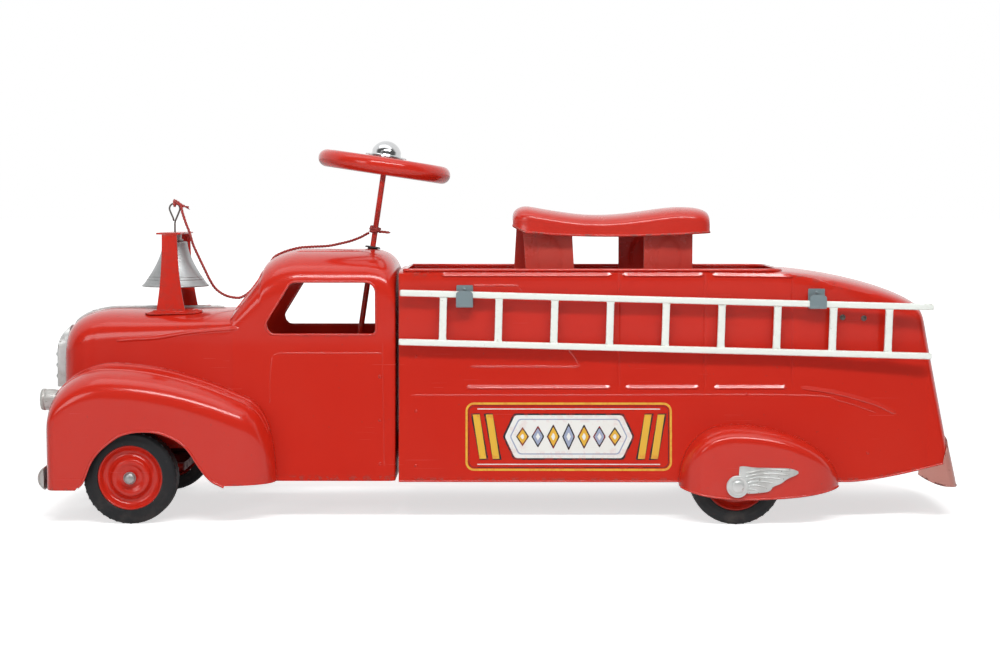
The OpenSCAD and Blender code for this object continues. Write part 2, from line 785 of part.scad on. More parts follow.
// Drag link: a rod whose two bent ends hang in the arm and in the carrier
link_z = 70;
module drag_link() {
  rear = [on_lean(link_z), arm_r, link_z];
  front = [axle_f, link_y, link_z];
  run = front - rear;
  color("silver")
    union() {
      translate(rear)
        rotate([0, 90, atan2(run[1], run[0])])
          cylinder(d = link_d, h = norm(run));
      translate(rear)
        sphere(d = link_d + 1);
      translate(front)
        sphere(d = link_d + 1);
      translate(rear)
        rotate([0, lean + 180, 0])
          cylinder(d = link_d, h = (link_z - arm_z) / cos(lean) + arm_t / 2 + 2.4);
      translate([axle_f, link_y, carrier_top - carrier_t - 3])
        cylinder(d = link_d, h = link_z - carrier_top + carrier_t + 3);
    }
}

module link_retainers() {
  h = 1.4;
  color("silver") {
    translate([axle_f, link_y, carrier_top - carrier_t - h - 1.4])
      difference() {
        cylinder(r = link_d / 2 + 3.5, h = h);
        translate([0, 0, -1])
          cylinder(r = link_d / 2 + run_gap, h = h + 2);
      }
    on_column(arm_z)
      translate([0, arm_r, -arm_t / 2 - seat_gap - h])
        difference() {
          cylinder(r = link_d / 2 + 2.5, h = h);
          translate([0, 0, -1])
            cylinder(r = link_d / 2 + run_gap, h = h + 2);
        }
  }
}

module column_bearing() {
  color("silver")
    on_column(web_z)
      difference() {
        union() {
          translate([0, 0, -6])
            cylinder(r = bearing_r, h = 16);
          translate([0, 0, 1.6])
            cylinder(r = bearing_r + 3, h = 2);
        }
        cylinder(r = column_d / 2 + run_gap, h = 60, center = true);
      }
}

module column_collar() {
  color("silver")
    on_column(web_z)
      translate([0, 0, 10 + seat_gap])
        difference() {
          cylinder(r = column_d / 2 + 3, h = 7);
          translate([0, 0, -1])
            cylinder(r = column_d / 2 + run_gap, h = 10);
        }
}

module roof_bush() {
  color("dimgray")
    on_column(roof_z)
      difference() {
        union() {
          translate([0, 0, 0.9])
            cylinder(r = bush_r + 2.4, h = 1.8);
          translate([0, 0, -5])
            cylinder(r = bush_r - 1, h = 6.5);
        }
        cylinder(r = column_d / 2 + run_gap, h = 40, center = true);
      }
}

// Steering wheel: a thick round rim, three spokes and a hub
spokes = 3;
dome_low = 11;
module steering_wheel() {
  r = (wheel_d - rim_d) / 2;
  color("firebrick")
    on_column(wheel_z)
      difference() {
        union() {
          rotate_extrude()
            translate([r, 0])
              circle(d = rim_d);
          for (i = [0 : spokes - 1])
            rotate([0, 90, 60 + i * 360 / spokes])
              cylinder(d = 11, h = r);
          translate([0, 0, -7])
            cylinder(r1 = 13, r2 = 20, h = dome_low + 7 - seat_gap);
        }
        translate([0, 0, -20])
          cylinder(r = column_d / 2 + run_gap, h = 28 + seat_gap);
      }
}

dome_r = 16.5;
dome_top = 29.3;
module wheel_dome() {
  color("gainsboro")
    on_column(wheel_z)
      translate([0, 0, dome_low])
        union() {
          cylinder(r = 23.5, h = 1.6);
          translate([0, 0, 1])
            cylinder(r = dome_r, h = 5);
          translate([0, 0, 6])
            intersection() {
              translate([0, 0, dome_top - dome_low - 6 - 17.5])
                sphere(17.5);
              cylinder(r = dome_r, h = 20);
            }
        }
}

// Bell bracket: two legs on oval feet, and a plate that carries the bell
leg_t = 1.6;
plate_t = 2;
bell_x = axle_f + bell_back;
pivot_z = plate_z - plate_t / 2;
leg_y = bracket_in / 2 + leg_t / 2;
foot_l_x = 82;
foot_w = 20;
foot_mid = bell_back + 14;
function foot_plane(d, y) = let (
    a = (hood_height(foot_mid + 30, leg_y) - hood_height(foot_mid - 30, leg_y)) / 60,
    b = (hood_height(foot_mid, leg_y + 5) - hood_height(foot_mid, leg_y - 5)) / 10
  ) [hood_height(foot_mid, leg_y) + a * (d - foot_mid) + b * (y - leg_y), a, b];
foot_lift = seat_gap + max([for (i = [-4 : 4]) for (j = [-2 : 2])
  let (d = foot_mid + foot_l_x * i / 8, y = leg_y + foot_w * j / 4) hood_height(d, y) - foot_plane(d, y)[0]]);
module bell_bracket() {
  plane = foot_plane(foot_mid, leg_y);
  foot_z = plane[0] + foot_lift;
  color("firebrick")
    difference() {
      union() {
        translate([bell_x - 14, -leg_y - leg_t / 2, plate_z - plate_t])
          cube([28, 2 * leg_y + leg_t, plate_t]);
        for (side = [LEFT, RIGHT]) {
          translate([bell_x + 2, side * leg_y + leg_t / 2, 0])
            rotate([90, 0, 0])
              linear_extrude(leg_t)
                polygon([[-16.5, foot_z + leg_t / 2 - 0.3], [16.5, foot_z + leg_t / 2 + 0.3], [8, plate_z - 1], [-10, plate_z - 1]]);
          translate([axle_f + foot_mid, side * leg_y, foot_z])
            rotate([side * atan(plane[2]), -atan(plane[1]), 0])
              linear_extrude(leg_t)
                union() {
                  square([foot_l_x - foot_w, foot_w], center = true);
                  for (end = [-1, 1])
                    translate([end * (foot_l_x - foot_w) / 2, 0])
                      circle(foot_w / 2);
                }
        }
      }
      translate([bell_x, 0, plate_z - 10])
        cylinder(r = 1.9, h = 20);
    }
}

// Bell: its radius falls from the lip to the shoulder by one power curve
bell_top = pivot_z - 9;
bell_low = bell_top - bell_h - 2;
shoulder_r = 14;
function bell_r(k) = shoulder_r + (bell_d / 2 - shoulder_r) * pow(1 - k, 1.6);
module bell() {
  steps = 12;
  stud_hole = stud_r + 0.1;
  color("gainsboro")
    translate([bell_x, 0, bell_low])
      rotate_extrude($fn = 96)
        polygon(concat(
          [for (i = [0 : steps]) [bell_r(i / steps), bell_h * i / steps]],
          [[shoulder_r - 2.5, bell_h + 1.5], [shoulder_r - 5, bell_h + 2], [stud_hole, bell_h + 2],
            [stud_hole, bell_h + 2 - bell_wall], [shoulder_r - 5, bell_h + 2 - bell_wall]],
          [for (i = [steps : -1 : 0]) [bell_r(i / steps) - bell_wall, min(bell_h * i / steps, bell_h - 1)]]
        ));
}

// Hollow stud between the bell and the plate; the striker's wire swings inside it
stud_r = 7.6;
module bell_stud() {
  color("silver")
    translate([bell_x, 0, 0])
      difference() {
        union() {
          translate([0, 0, bell_top - bell_wall - 1.5])
            cylinder(r = stud_r, h = plate_z - plate_t - bell_top + bell_wall + 1.5 - seat_gap / 3);
          translate([0, 0, bell_top - bell_wall - 1.6 - seat_gap])
            cylinder(r = stud_r + 1.6, h = 1.6);
          translate([0, 0, bell_top + 0.1])
            cylinder(r = stud_r + 2, h = 2, $fn = 6);
        }
        translate([0, 0, bell_low])
          cylinder(r = stud_r - 1.5, h = 80);
      }
}

// Striker: a wire that rocks in the plate, with a loop above and a ball below
wire_d = 2;
loop_r = 6;
loop_z = plate_z + 27;
neck_z = plate_z + 12;
module striker_wire() {
  lean_a = asin(loop_r / (loop_z - neck_z));
  steps = 14;
  color("dimgray")
    translate([bell_x, 0, 0])
      tube(concat(
        [[0, 0, pivot_z - ball_drop], [0, 0, neck_z]],
        [for (i = [0 : steps]) let (a = -lean_a + (180 + 2 * lean_a) * i / steps)
          [loop_r * cos(a), 0, loop_z + loop_r * sin(a)]],
        [[-4 * sin(lean_a), 0, neck_z + 4 * cos(lean_a)]]
      ), wire_d);
}

module striker_ball() {
  color("silver")
    translate([bell_x, 0, pivot_z - ball_drop])
      difference() {
        sphere(d = ball_d);
        translate([0, 0, -seat_gap])
          cylinder(r = wire_d / 2 + run_gap, h = ball_d);
      }
}

// Bell rope: from the loop down past the bell, up the screen, over the roof to the column
route_bell = [
  [2.3, -3.1, 33], [7.5, -4.6, 31], [10, -6, 22], [14, -7, 10], [18, -8, 0], [22, -8, -14], [28, -7, -28],
  [34, -4, -42], [40, 0, -56], [46, 5, -66], [56, 11, -73.5], [68, 17, -76.5]
];
route_screen = [
  [0, 21, 12], [6.5, 23, 7], [12, 24.5, 5.2], [22, 26, 4.6], [30, 26, 4.5], [36, 26, 4.4], [44, 26, 3.4],
  [55, 25.5, 2.7], [68, 24, 2.4], [82, 22, 2.4]
];
route_column = [[-54, 20, 2.6], [-42, 18, 4.8], [-27, 15, 8.4], [-15, 11, 12.8], [-8.5, 8, 16.2], [-4.6, 6, 18.2]];
rope_up = 19;
rope_route = concat(
  [for (q = route_bell) [bell_x + q[0], q[1], plate_z + q[2]]],
  [for (q = route_screen) [axle_f + cowl_back + q[0], q[1], hood_height(cowl_back + q[0], q[1]) + q[2]]],
  [for (q = route_column) [column_x + q[0], q[1], roof_z + q[2]]]
);
function unit(v) = v / norm(v);
module tube(route, d, sides = 8) {
  n = len(route);
  rings = [for (i = [0 : n - 1])
    let (t = unit(route[min(i + 1, n - 1)] - route[max(i - 1, 0)]), u = unit(cross(t, [0, 1, 0])), v = cross(u, t))
    [for (j = [0 : sides - 1]) let (a = 360 * j / sides) route[i] + d / 2 * (u * cos(a) + v * sin(a))]];
  polyhedron(
    points = flat(rings),
    faces = concat(
      flat([for (i = [0 : n - 2]) for (j = [0 : sides - 1])
        let (a = i * sides + j, b = i * sides + (j + 1) % sides)
        quad(a, b, b + sides, a + sides)]),
      cap(sides, 0, true), cap(sides, (n - 1) * sides, false)
    )
  );
}

module bell_rope() {
  color("darkred")
    tube(rope_route, rope_d);
}

// Knots: a turn of rope round the wire's loop, and another round the column with a short tail
module rope_turn(inner) {
  rotate_extrude()
    translate([inner + rope_d / 2 + 0.35, 0])
      circle(d = rope_d);
}

module rope_knot_bell() {
  color("darkred")
    translate([bell_x, 0, loop_z + loop_r])
      rotate([0, 90, 0])
        rope_turn(wire_d / 2);
}

module rope_knot_column() {
  color("darkred")
    on_column(roof_z + rope_up)
      union() {
        rope_turn(column_d / 2);
        translate([0, 0, rope_d * 0.8])
          rope_turn(column_d / 2);
        translate([6, -1, 1])
          rotate([0, 80, -10])
            cylinder(d = rope_d, h = 12);
        translate([6, -1, 1])
          rotate([0, 80, -10])
            translate([0, 0, 12])
              sphere(d = rope_d);
      }
}

// Seat: a saddle pressing on two straps whose legs stand a little askew
seat_x = axle_r - seat_fore;
function saddle_top(k) = seat_z - 12 * pow(sin(min(1, k / 0.84) * 180), 1.3) * (1 - 0.15 * k) - 4 * ramp(k, 0.25, 1)
  - 14 * (1 - blunt(k / 0.09, 2)) - 8 * (1 - blunt((1 - k) / 0.1, 2));
function saddle_w(k) = seat_w / 2 - 18 * (1 - blunt(k / 0.16, 2.2)) - 6 * pow(sin(180 * k), 2)
  - 16 * (1 - blunt((1 - k) / 0.16, 2.2));
function saddle_low(k) = seat_z - seat_skirt + 7 * (1 - ramp(k, 0, 0.06)) - 4 * sin(180 * k) * ramp(k, 0.05, 0.2);
function saddle_half(k, t) = let (w = saddle_w(k) - t, low = saddle_low(k), top = saddle_top(k) - t, r = min(15, 0.8 * (top - low)))
  concat([[w + 1.2, low], [w + 0.3, (low + top - r) / 2]],
    [for (i = [0 : 6]) let (a = 15 * i) [w * pow(cos(a), 2 / 2.6), top - r + r * pow(sin(a), 2 / 2.6)]]);
saddle_stations = concat(
  [for (i = [0 : 6]) 0.16 * pow(i / 6, 2)], [for (i = [1 : 8]) 0.16 + 0.68 * i / 8], [for (i = [5 : -1 : 0]) 1 - 0.16 * pow(i / 6, 2)]
);
saddle_last = len(saddle_stations) - 1;
function saddle_shift(i) = sheet * (1 - ramp(i, 0, 3)) - sheet * (1 - ramp(saddle_last - i, 0, 3));
module seat_saddle() {
  color("firebrick")
    tub(
      [for (k = saddle_stations) both_sides(seat_x + seat_l * k, saddle_half(k, 0))],
      [for (i = [0 : saddle_last]) let (k = saddle_stations[i])
        both_sides(seat_x + seat_l * k + saddle_shift(i), saddle_half(k, sheet))]
    );
}

// A strap under the saddle with a leg and a foot on each side; turn sets the legs off against each other
strap_t = 2;
strap_half = 40;
foot_l = 16;
bolt_d = 5;
front_strap_k = 0.16;
rear_strap_k = 0.735;
front_turn = 4;
rear_turn = 12;
function strap_x(k) = seat_x + seat_l * k;
function saddle_under(k, y) = let (w = saddle_w(k) - sheet, top = saddle_top(k) - sheet, r = min(15, 0.8 * (top - saddle_low(k))))
  top - r + r * pow(1 - pow(min(1, y / w), 2.6), 1 / 2.6);
function strap_top(k, turn) = let (span = (leg_w / 2 + abs(turn)) / seat_l)
  min([for (i = [-6 : 6]) saddle_under(k + span * i / 6, strap_half)]) - 2 * seat_gap;
foot_bolts = [for (s = [[front_strap_k, front_turn], [rear_strap_k, rear_turn]]) for (side = [LEFT, RIGHT])
  [strap_x(s[0]) - side * s[1], side * (strap_half - foot_l / 2)]];
module seat_strap(k, turn) {
  x = strap_x(k);
  top = strap_top(k, turn);
  color("firebrick")
    difference() {
      union() {
        translate([0, 0, top - strap_t])
          linear_extrude(strap_t)
            polygon([[x + turn - leg_w / 2, -strap_half], [x + turn + leg_w / 2, -strap_half],
              [x - turn + leg_w / 2, strap_half], [x - turn - leg_w / 2, strap_half]]);
        for (side = [LEFT, RIGHT])
          translate([x - side * turn - leg_w / 2, side < 0 ? -strap_half : strap_half - strap_t, bed_z + seat_gap])
            cube([leg_w, strap_t, top - bed_z - seat_gap]);
        for (side = [LEFT, RIGHT])
          translate([x - side * turn - leg_w / 2, side < 0 ? -strap_half : strap_half - foot_l, bed_z + seat_gap])
            cube([leg_w, foot_l, strap_t]);
      }
      for (q = foot_bolts)
        translate([q[0], q[1], bed_z - 1])
          cylinder(d = bolt_d + 0.4, h = 10);
    }
}

module seat_bolts() {
  color("silver")
    for (q = foot_bolts)
      translate([q[0], q[1], bed_z])
        union() {
          translate([0, 0, -sheet - 6])
            cylinder(d = bolt_d, h = sheet + 6 + strap_t + 1);
          translate([0, 0, strap_t + 2 * seat_gap])
            cylinder(d = bolt_d + 4, h = 2.2);
          translate([0, 0, -sheet - 4.6])
            cylinder(r = bolt_d, h = 4.3, $fn = 6);
        }
}

// Ladders and the bent clips that pinch their upper rails
clip_t = 1.2;
clip_w = 18.5;
rail_in = half_w + 6.7;
rail_out = rail_in + ladder_t;
function rail_low(x) = ladder_z - (x - bed_x - ladder_fore) * tan(ladder_slope) - rail_h / 2 / cos(ladder_slope);
clip_front = bed_x + 73;
clip_rear = axle_r + 92;
clip_room = 9.5;
clip_places = [
  [clip_front, rail_low(clip_front) - clip_room, rail_low(clip_front) + rail_h, rail_low(clip_front) + clip_w * 0.73],
  [clip_rear, rail_low(clip_rear + clip_w / 2) - seat_gap, rail_low(clip_rear) + clip_w * 0.7,
    rail_low(clip_rear) + clip_w * 1.08]
];
module ladder(side) {
  w = 8;
  rung_t = ladder_t - 2;
  first = 48;
  pitch = (ladder_l - 2 * first) / (rungs - 1);
  color("ivory")
    translate([bed_x + ladder_fore, 0, ladder_z])
      rotate([0, ladder_slope, 0])
        union() {
          for (z = [0, -ladder_h])
            translate([0, side < 0 ? -rail_out : rail_in, z - rail_h / 2])
              cube([ladder_l, ladder_t, rail_h]);
          for (i = [0 : rungs - 1])
            translate([first + i * pitch - w / 2, side * (rail_in + rail_out) / 2 - rung_t / 2, -ladder_h])
              cube([w, rung_t, ladder_h]);
        }
}

module ladder_clips() {
  wall = half_w + seat_gap;
  tab = rail_out + seat_gap;
  color("slategray")
    for (side = [LEFT, RIGHT])
      for (q = clip_places)
        translate([q[0], 0, 0])
          scale([1, side, 1])
            translate([-clip_w / 2, 0, 0])
              union() {
                translate([0, wall, q[1]])
                  cube([clip_w, clip_t, q[3] - q[1]]);
                translate([0, wall, q[1] - clip_t])
                  cube([clip_w, tab + clip_t - wall, clip_t]);
                translate([0, tab + clip_t, q[1] - clip_t])
                  rotate([90, 0, 0])
                    linear_extrude(clip_t)
                      polygon([[0, 0], [clip_w, 0], [clip_w, q[2] - q[1] - 3], [clip_w - 4, q[2] - q[1] + clip_t],
                        [4, q[2] - q[1] + clip_t], [0, q[2] - q[1] - 3]]);
              }
}

// Front end: apron, bumper, grille, trim strip and lamps
apron_reach = nose_reach - 6;
apron_half = ff_in(-apron_reach, ff_top(-apron_reach));
apron_x = axle_f - apron_reach;
apron_tongue = 40;
module front_apron() {
  color("firebrick")
    translate([apron_x, 0, 0])
      union() {
        translate([0, -apron_half, fender_low])
          cube([sheet, 2 * apron_half, wheel_room_z - seat_gap - fender_low]);
        translate([0, -nose_half, wheel_room_z - 2])
          cube([sheet, 2 * nose_half, apron_tongue]);
      }
}

bumper_h = 26;
bumper_t = 8;
bumper_half = fender_half - 32;
bumper_bow = 4;
bumper_z = 34;
module bumper_section(t) {
  r = (pow(bumper_h / 2, 2) + pow(bumper_t, 2)) / (2 * bumper_t);
  intersection() {
    translate([-r, 0])
      circle(r - t);
    translate([-bumper_t - (t > 0 ? 1 : 0), -bumper_h])
      square([bumper_t + 1, 2 * bumper_h]);
  }
}

module front_bumper() {
  bend = (pow(bumper_half, 2) + pow(bumper_bow, 2)) / (2 * bumper_bow);
  turn = asin(bumper_half / bend);
  color("gainsboro")
    translate([front_x + bend, 0, bumper_z + bumper_h / 2])
      rotate([0, 0, 180 - turn])
        rotate_extrude(angle = 2 * turn, $fn = 720)
          translate([bend, 0])
            difference() {
              bumper_section(0);
              bumper_section(1.6);
            }
}

bracket_in_x = 3.7;
bracket_w = 16;
bracket_h = 10;
module bumper_brackets() {
  color("silver")
    for (side = [LEFT, RIGHT])
      translate([front_x + bracket_in_x, side * (nose_half + 2) - bracket_w / 2, bumper_z + (bumper_h - bracket_h) / 2])
        cube([apron_x - front_x - bracket_in_x - seat_gap, bracket_w, bracket_h]);
}

grille_low = 140;
grille_top = 210;
module grille_outline(t) {
  translate([-24 + t, grille_low + t])
    square([48 - 2 * t, grille_top - grille_low - 24]);
  translate([0, grille_top - 24])
    circle(24 - t);
}

grille_deep = 13;
module grille() {
  color("gainsboro")
    translate([nose_x - seat_gap, 0, 0])
      union() {
        intersection() {
          rotate([90, 0, -90])
            union() {
              linear_extrude(grille_deep)
                difference() {
                  grille_outline(0);
                  grille_outline(3);
                }
              translate([0, 0, 6.8])
                linear_extrude(1.2)
                  grille_outline(2);
              for (i = [-3 : 3])
                translate([i * 6 - 1, grille_low + 2, 6.8])
                  cube([2, grille_top - grille_low - 6 - pow(abs(i), 2), 5.4]);
            }
          rotate([90, 0, 0])
            linear_extrude(60, center = true)
              polygon([[1, grille_low - 2], [-grille_deep - 0.01, grille_low - 2], [-grille_deep - 0.01, 180], [-12.2, 188],
                [-10, 196], [-6.5, 203], [-2, 208.5], [1, 211]]);
        }
        rotate([90, 0, -90])
          for (z = [152, 164.5, 177])
            translate([-21, z, grille_deep - 1])
              rotate([0, 90, 0])
                cylinder(d = 7, h = 42);
      }
}

trim_w = 6;
module hood_trim() {
  d0 = -nose_reach + 4;
  d1 = cowl_back - 16;
  steps = 14;
  places = [for (i = [0 : steps]) d0 + (d1 - d0) * pow(i / steps, 1.7)];
  color("gainsboro")
    translate([axle_f, trim_w / 2, 0])
      rotate([90, 0, 0])
        linear_extrude(trim_w)
          polygon(concat(
            [for (d = places) [d - 1.6 * (1 - ramp(d, d0, d0 + 30)), cab_top(d) + 2.4]],
            [for (i = [steps : -1 : 0]) [places[i], cab_top(places[i]) + seat_gap]]
          ));
}

lamp_d = 24;
lamp_l = 36;
lamp_y = fender_half - 47;
lamp_back = 103;
lamp_z = 133;
module lamp_place(side) {
  translate([axle_f - lamp_back, side * lamp_y, lamp_z])
    rotate([0, 90, 0])
      children();
}

module lamp(gap) {
  r = lamp_d / 2 + gap;
  union() {
    cylinder(r1 = r - 1, r2 = r, h = 1.5);
    translate([0, 0, 1.5])
      cylinder(r = r, h = 6);
    translate([0, 0, 7.5])
      cylinder(r1 = r, r2 = 5 + gap, h = lamp_l + gap - 7.5);
  }
}

module headlights() {
  color("gainsboro")
    for (side = [LEFT, RIGHT])
      lamp_place(side)
        lamp(0);
}

// Winged badges on the rear fenders: a boss over the wheel and a stepped wing behind it
badge_t = 3;
wing = [[0, 22], [6, 21], [56, 20], [66, 16.5], [64, 13], [54, 8.5], [47, 3.5], [39, 0], [34, -5], [12, -7.5]];
module wing_badges() {
  color("silver")
    for (side = [LEFT, RIGHT])
      translate([axle_r, side * (fender_half + seat_gap), hub_z - 7])
        scale([1, -side, 1])
          rotate([90, 0, 0])
            union() {
              linear_extrude(badge_t)
                polygon(wing);
              cylinder(r = 12, h = badge_t + 0.6);
              cylinder(r = 6.9, h = badge_t + 2);
            }
}

chassis_channel();
cross_members();
rear_axle_hangers();
cab_shell();
front_apron();
grille();
hood_trim();
front_fender(LEFT);  // front_fender_left
front_fender(RIGHT);  // front_fender_right
headlights();
front_bumper();
bumper_brackets();
hose_body();
bed_floor();
rear_fender(LEFT);  // rear_fender_left
rear_fender(RIGHT);  // rear_fender_right
wing_badges();
tail_step();
seat_saddle();
seat_strap(front_strap_k, front_turn);  // seat_front_support
seat_strap(rear_strap_k, rear_turn);  // seat_rear_support
seat_bolts();
ladder(LEFT);  // ladder_left
ladder(RIGHT);  // ladder_right
ladder_clips();
bell_bracket();
bell();
bell_stud();
striker_wire();
striker_ball();
bell_rope();
rope_knot_bell();
rope_knot_column();
steering_wheel();
wheel_dome();
steering_column();
roof_bush();
column_bearing();
column_collar();
steering_arm();
drag_link();
link_retainers();
front_axle_carrier();
king_bolt();
king_spacer();
axle_rod(axle_f);  // front_axle
axle_spacers(axle_f);  // front_axle_spacers
axle_caps(axle_f);  // front_axle_caps
axle_rod(axle_r);  // rear_axle
axle_spacers(axle_r);  // rear_axle_spacers
axle_caps(axle_r);  // rear_axle_caps
tyre(axle_f, LEFT);  // tyre_front_left
tyre(axle_f, RIGHT);  // tyre_front_right
tyre(axle_r, LEFT);  // tyre_rear_left
tyre(axle_r, RIGHT);  // tyre_rear_right
wheel_disc(axle_f, LEFT);  // disc_front_left
wheel_disc(axle_f, RIGHT);  // disc_front_right
wheel_disc(axle_r, LEFT);  // disc_rear_left
wheel_disc(axle_r, RIGHT);  // disc_rear_right
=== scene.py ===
import math

import bmesh
import bpy
import numpy as np
from mathutils import Matrix, Vector


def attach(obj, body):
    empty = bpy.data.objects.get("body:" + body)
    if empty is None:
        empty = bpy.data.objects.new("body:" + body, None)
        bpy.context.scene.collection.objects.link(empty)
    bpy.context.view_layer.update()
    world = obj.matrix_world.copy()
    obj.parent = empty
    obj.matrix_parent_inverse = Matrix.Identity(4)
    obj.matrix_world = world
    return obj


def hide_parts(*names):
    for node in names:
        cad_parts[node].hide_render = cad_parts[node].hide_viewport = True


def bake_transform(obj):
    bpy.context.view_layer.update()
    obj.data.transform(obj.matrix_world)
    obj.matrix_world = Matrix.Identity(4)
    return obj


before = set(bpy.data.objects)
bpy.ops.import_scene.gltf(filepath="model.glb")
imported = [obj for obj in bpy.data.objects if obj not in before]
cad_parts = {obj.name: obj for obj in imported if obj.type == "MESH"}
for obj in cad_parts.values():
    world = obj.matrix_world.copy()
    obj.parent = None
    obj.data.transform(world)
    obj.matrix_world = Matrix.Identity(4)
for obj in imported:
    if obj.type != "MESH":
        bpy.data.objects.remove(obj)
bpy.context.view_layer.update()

# Sizes in millimetres, the same as in the drawing of the solids.
# X is counted from a point 3 mm behind the frame's own middle.
MM = 0.001
ORIGIN = np.array([-3.0, 0.0, 0.0])
AXLE_F = -400.0
AXLE_R = 260.0
FRONT_X = -510.0
TAIL_X = 516.0
BED_X = -109.0
HUB_Z = 50.8
TRACK_HALF = 120.0
SHEET = 1.2
GAP = 0.3
SILL_Z = 43.0
WAIST_Z = 200.0
FLARE = 14.0
HALF_W = 86.0
FENDER_HALF = 142.0
RIM_Z = 276.0
DECK_Z = 230.0
BED_Z = 236.0
COLUMN_X = -144.0
ROOF_Z = 297.0
LEAN = math.radians(8.6)
PLATE_Z = 316.0
BELL_X = -371.0
SEAT_X = 17.0
SEAT_L = 222.0
RAIL_IN = 92.7
RAIL_OUT = 99.7
SIDES = (-1, 1)
HANDS = ((-1, "left"), (1, "right"))
AXLES = ((AXLE_F, "front"), (AXLE_R, "rear"))
QUARTER = 0.5 * math.pi


# Camera, at the height of the saddle on the driver's left


def place_camera():
    data = bpy.data.cameras.new("side_camera")
    data.lens = 66.7
    data.sensor_width = 36.0
    camera = bpy.data.objects.new("side_camera", data)
    bpy.context.scene.collection.objects.link(camera)
    camera.location = (0.011, -2.130, 0.353)
    camera.rotation_euler = (math.radians(90 - 4.08), 0.0, math.radians(0.31))
    bpy.context.scene.camera = camera


place_camera()


def metres(points):
    return (np.asarray(points, float) + ORIGIN) * MM


# Curves of the pressings
NOSE = 90.0
NOSE_HALF = 30.0
DECK_BACK = 217.0
REAR_SLOPE = 0.185
END_ROUND = 14.0
FENDER_NOSE = 98.0
FENDER_END = 156.0
HOOD_Z = 229.0
SCREEN_FOOT = 103.0
SCREEN_HEAD = 136.0
SCREEN_RISE = 48.0
CAB_BACK = 287.0
CAB_CURVE = 2.4
HOSE_CURVE = 2.5
FRONT_CURVE = 2.3
REAR_CURVE = 3.2
REAR_NOSE = 60.0
REAR_END = 116.0


def ramp(x, a, b):
    return np.clip((np.asarray(x, float) - a) / (b - a), 0.0, 1.0)


def blunt(u, p):
    u = np.clip(np.asarray(u, float), 0.0, 1.0)
    return (1.0 - (1.0 - u) ** p) ** (1.0 / p)


def bow(k, p):
    """A blunt quarter curve that starts flat at k = 0 and falls to nothing at k = 1."""
    return (1.0 - k**p) ** (1.0 / p)


def side_out(z):
    return FLARE * (1.0 - ramp(z, SILL_Z, WAIST_Z)) ** 1.3


def cab_top(d):
    hood = HOOD_Z - 33.0 * (1.0 - blunt((d + NOSE) / 60.0, 2.2))
    screen = HOOD_Z + SCREEN_RISE * (d - SCREEN_FOOT) / (SCREEN_HEAD - SCREEN_FOOT)
    front = 20.0 * (1.0 - blunt((d - SCREEN_HEAD) / 44.0, 1.7))
    back = 26.0 * (1.0 - blunt((CAB_BACK - d) / 34.0, 2.2))
    roof = ROOF_Z - front - back
    return np.where(d <= SCREEN_FOOT, hood, np.where(d <= SCREEN_HEAD, screen, roof))


def cab_w(d):
    hood = 66.0 + 20.0 * ramp(d, -50.0, 107.0)
    end = 4.0 * (1.0 - blunt((CAB_BACK - d) / 12.0, 2.0))
    return NOSE_HALF + (hood - NOSE_HALF) * blunt((d + NOSE) / 40.0, 2.4) - end


def cab_round(d):
    return 34.0 - 14.0 * ramp(d, -40.0, SCREEN_FOOT) + 22.0 * ramp(d, SCREEN_FOOT, SCREEN_HEAD)


def cab_low(d):
    return 78.0 - 35.0 * ramp(d, 72.0, 92.0)


def hood_height(d, y):
    shoulder = cab_top(d) - cab_round(d)
    wide = cab_w(d) + side_out(shoulder)
    return shoulder + cab_round(d) * bow(np.clip(np.abs(y) / wide, 0.0, 1.0), CAB_CURVE)


def wall_y(z, shoulder, r, low, high, p):
    """The half width of a pressing: its wall below the shoulder and a round corner above it."""
    return np.where(z <= shoulder, low, high * bow(np.clip((z - shoulder) / r, 0.0, 1.0), p))


def cab_y(d, z):
    shoulder = cab_top(d) - cab_round(d)
    return wall_y(z, shoulder, cab_round(d), cab_w(d) + side_out(z), cab_w(d) + side_out(shoulder), CAB_CURVE)


def rear_e(z):
    return DECK_BACK + (DECK_Z - z) * REAR_SLOPE


def deck_top(e):
    deck = RIM_Z - 46.0 * (1.0 - blunt((DECK_BACK - e) / (DECK_BACK - 56.0), 1.55))
    return np.where(e <= DECK_BACK, deck, DECK_Z - (e - DECK_BACK) / REAR_SLOPE)


def hose_w(e):
    return HALF_W - 8.0 * ramp(e, 56.0, DECK_BACK) ** 1.5


def hose_low(e):
    return 42.0 + 22.0 * ramp(e, 130.0, 247.0) ** 1.4


def hose_round(e):
    return np.minimum(5.0 + 12.0 * ramp(e, 48.0, 150.0), 0.5 * (deck_top(e) - hose_low(e)))


def hose_y(e, z):
    shoulder = deck_top(e) - hose_round(e)
    wide = wall_y(z, shoulder, hose_round(e), hose_w(e) + side_out(z), hose_w(e) + side_out(shoulder), HOSE_CURVE)
    return wide * blunt((rear_e(z) - e) / END_ROUND, 3.0)


def ff_top(d):
    return (172.0 - 62.0 * (1.0 - blunt((d + FENDER_NOSE) / 70.0, 1.9)) - 41.0 * ramp(d, -27.0, 133.0) ** 1.9
            - 87.0 * (1.0 - blunt((FENDER_END - d) / 30.0, 2.0)))


def ff_in(d, z):
    return cab_w(np.maximum(d, -NOSE)) + side_out(z) + 0.39 + 2.4 * (1.0 - ramp(d, -92.0, -58.0))


def ff_w(d):
    inner = cab_w(np.maximum(d, -NOSE)) + side_out(cab_low(d)) + 2.1
    ends = np.minimum(blunt((d + FENDER_NOSE) / 20.0, 2.6), blunt((FENDER_END - d) / 60.0, 2.2))
    return inner + (FENDER_HALF - inner) * ends


def ff_low(d):
    return 38.5 + 5.0 * ramp(d, 0.0, 100.0)


def ff_round(d):
    return np.minimum(34.0, 0.5 * (ff_top(d) - ff_low(d)))


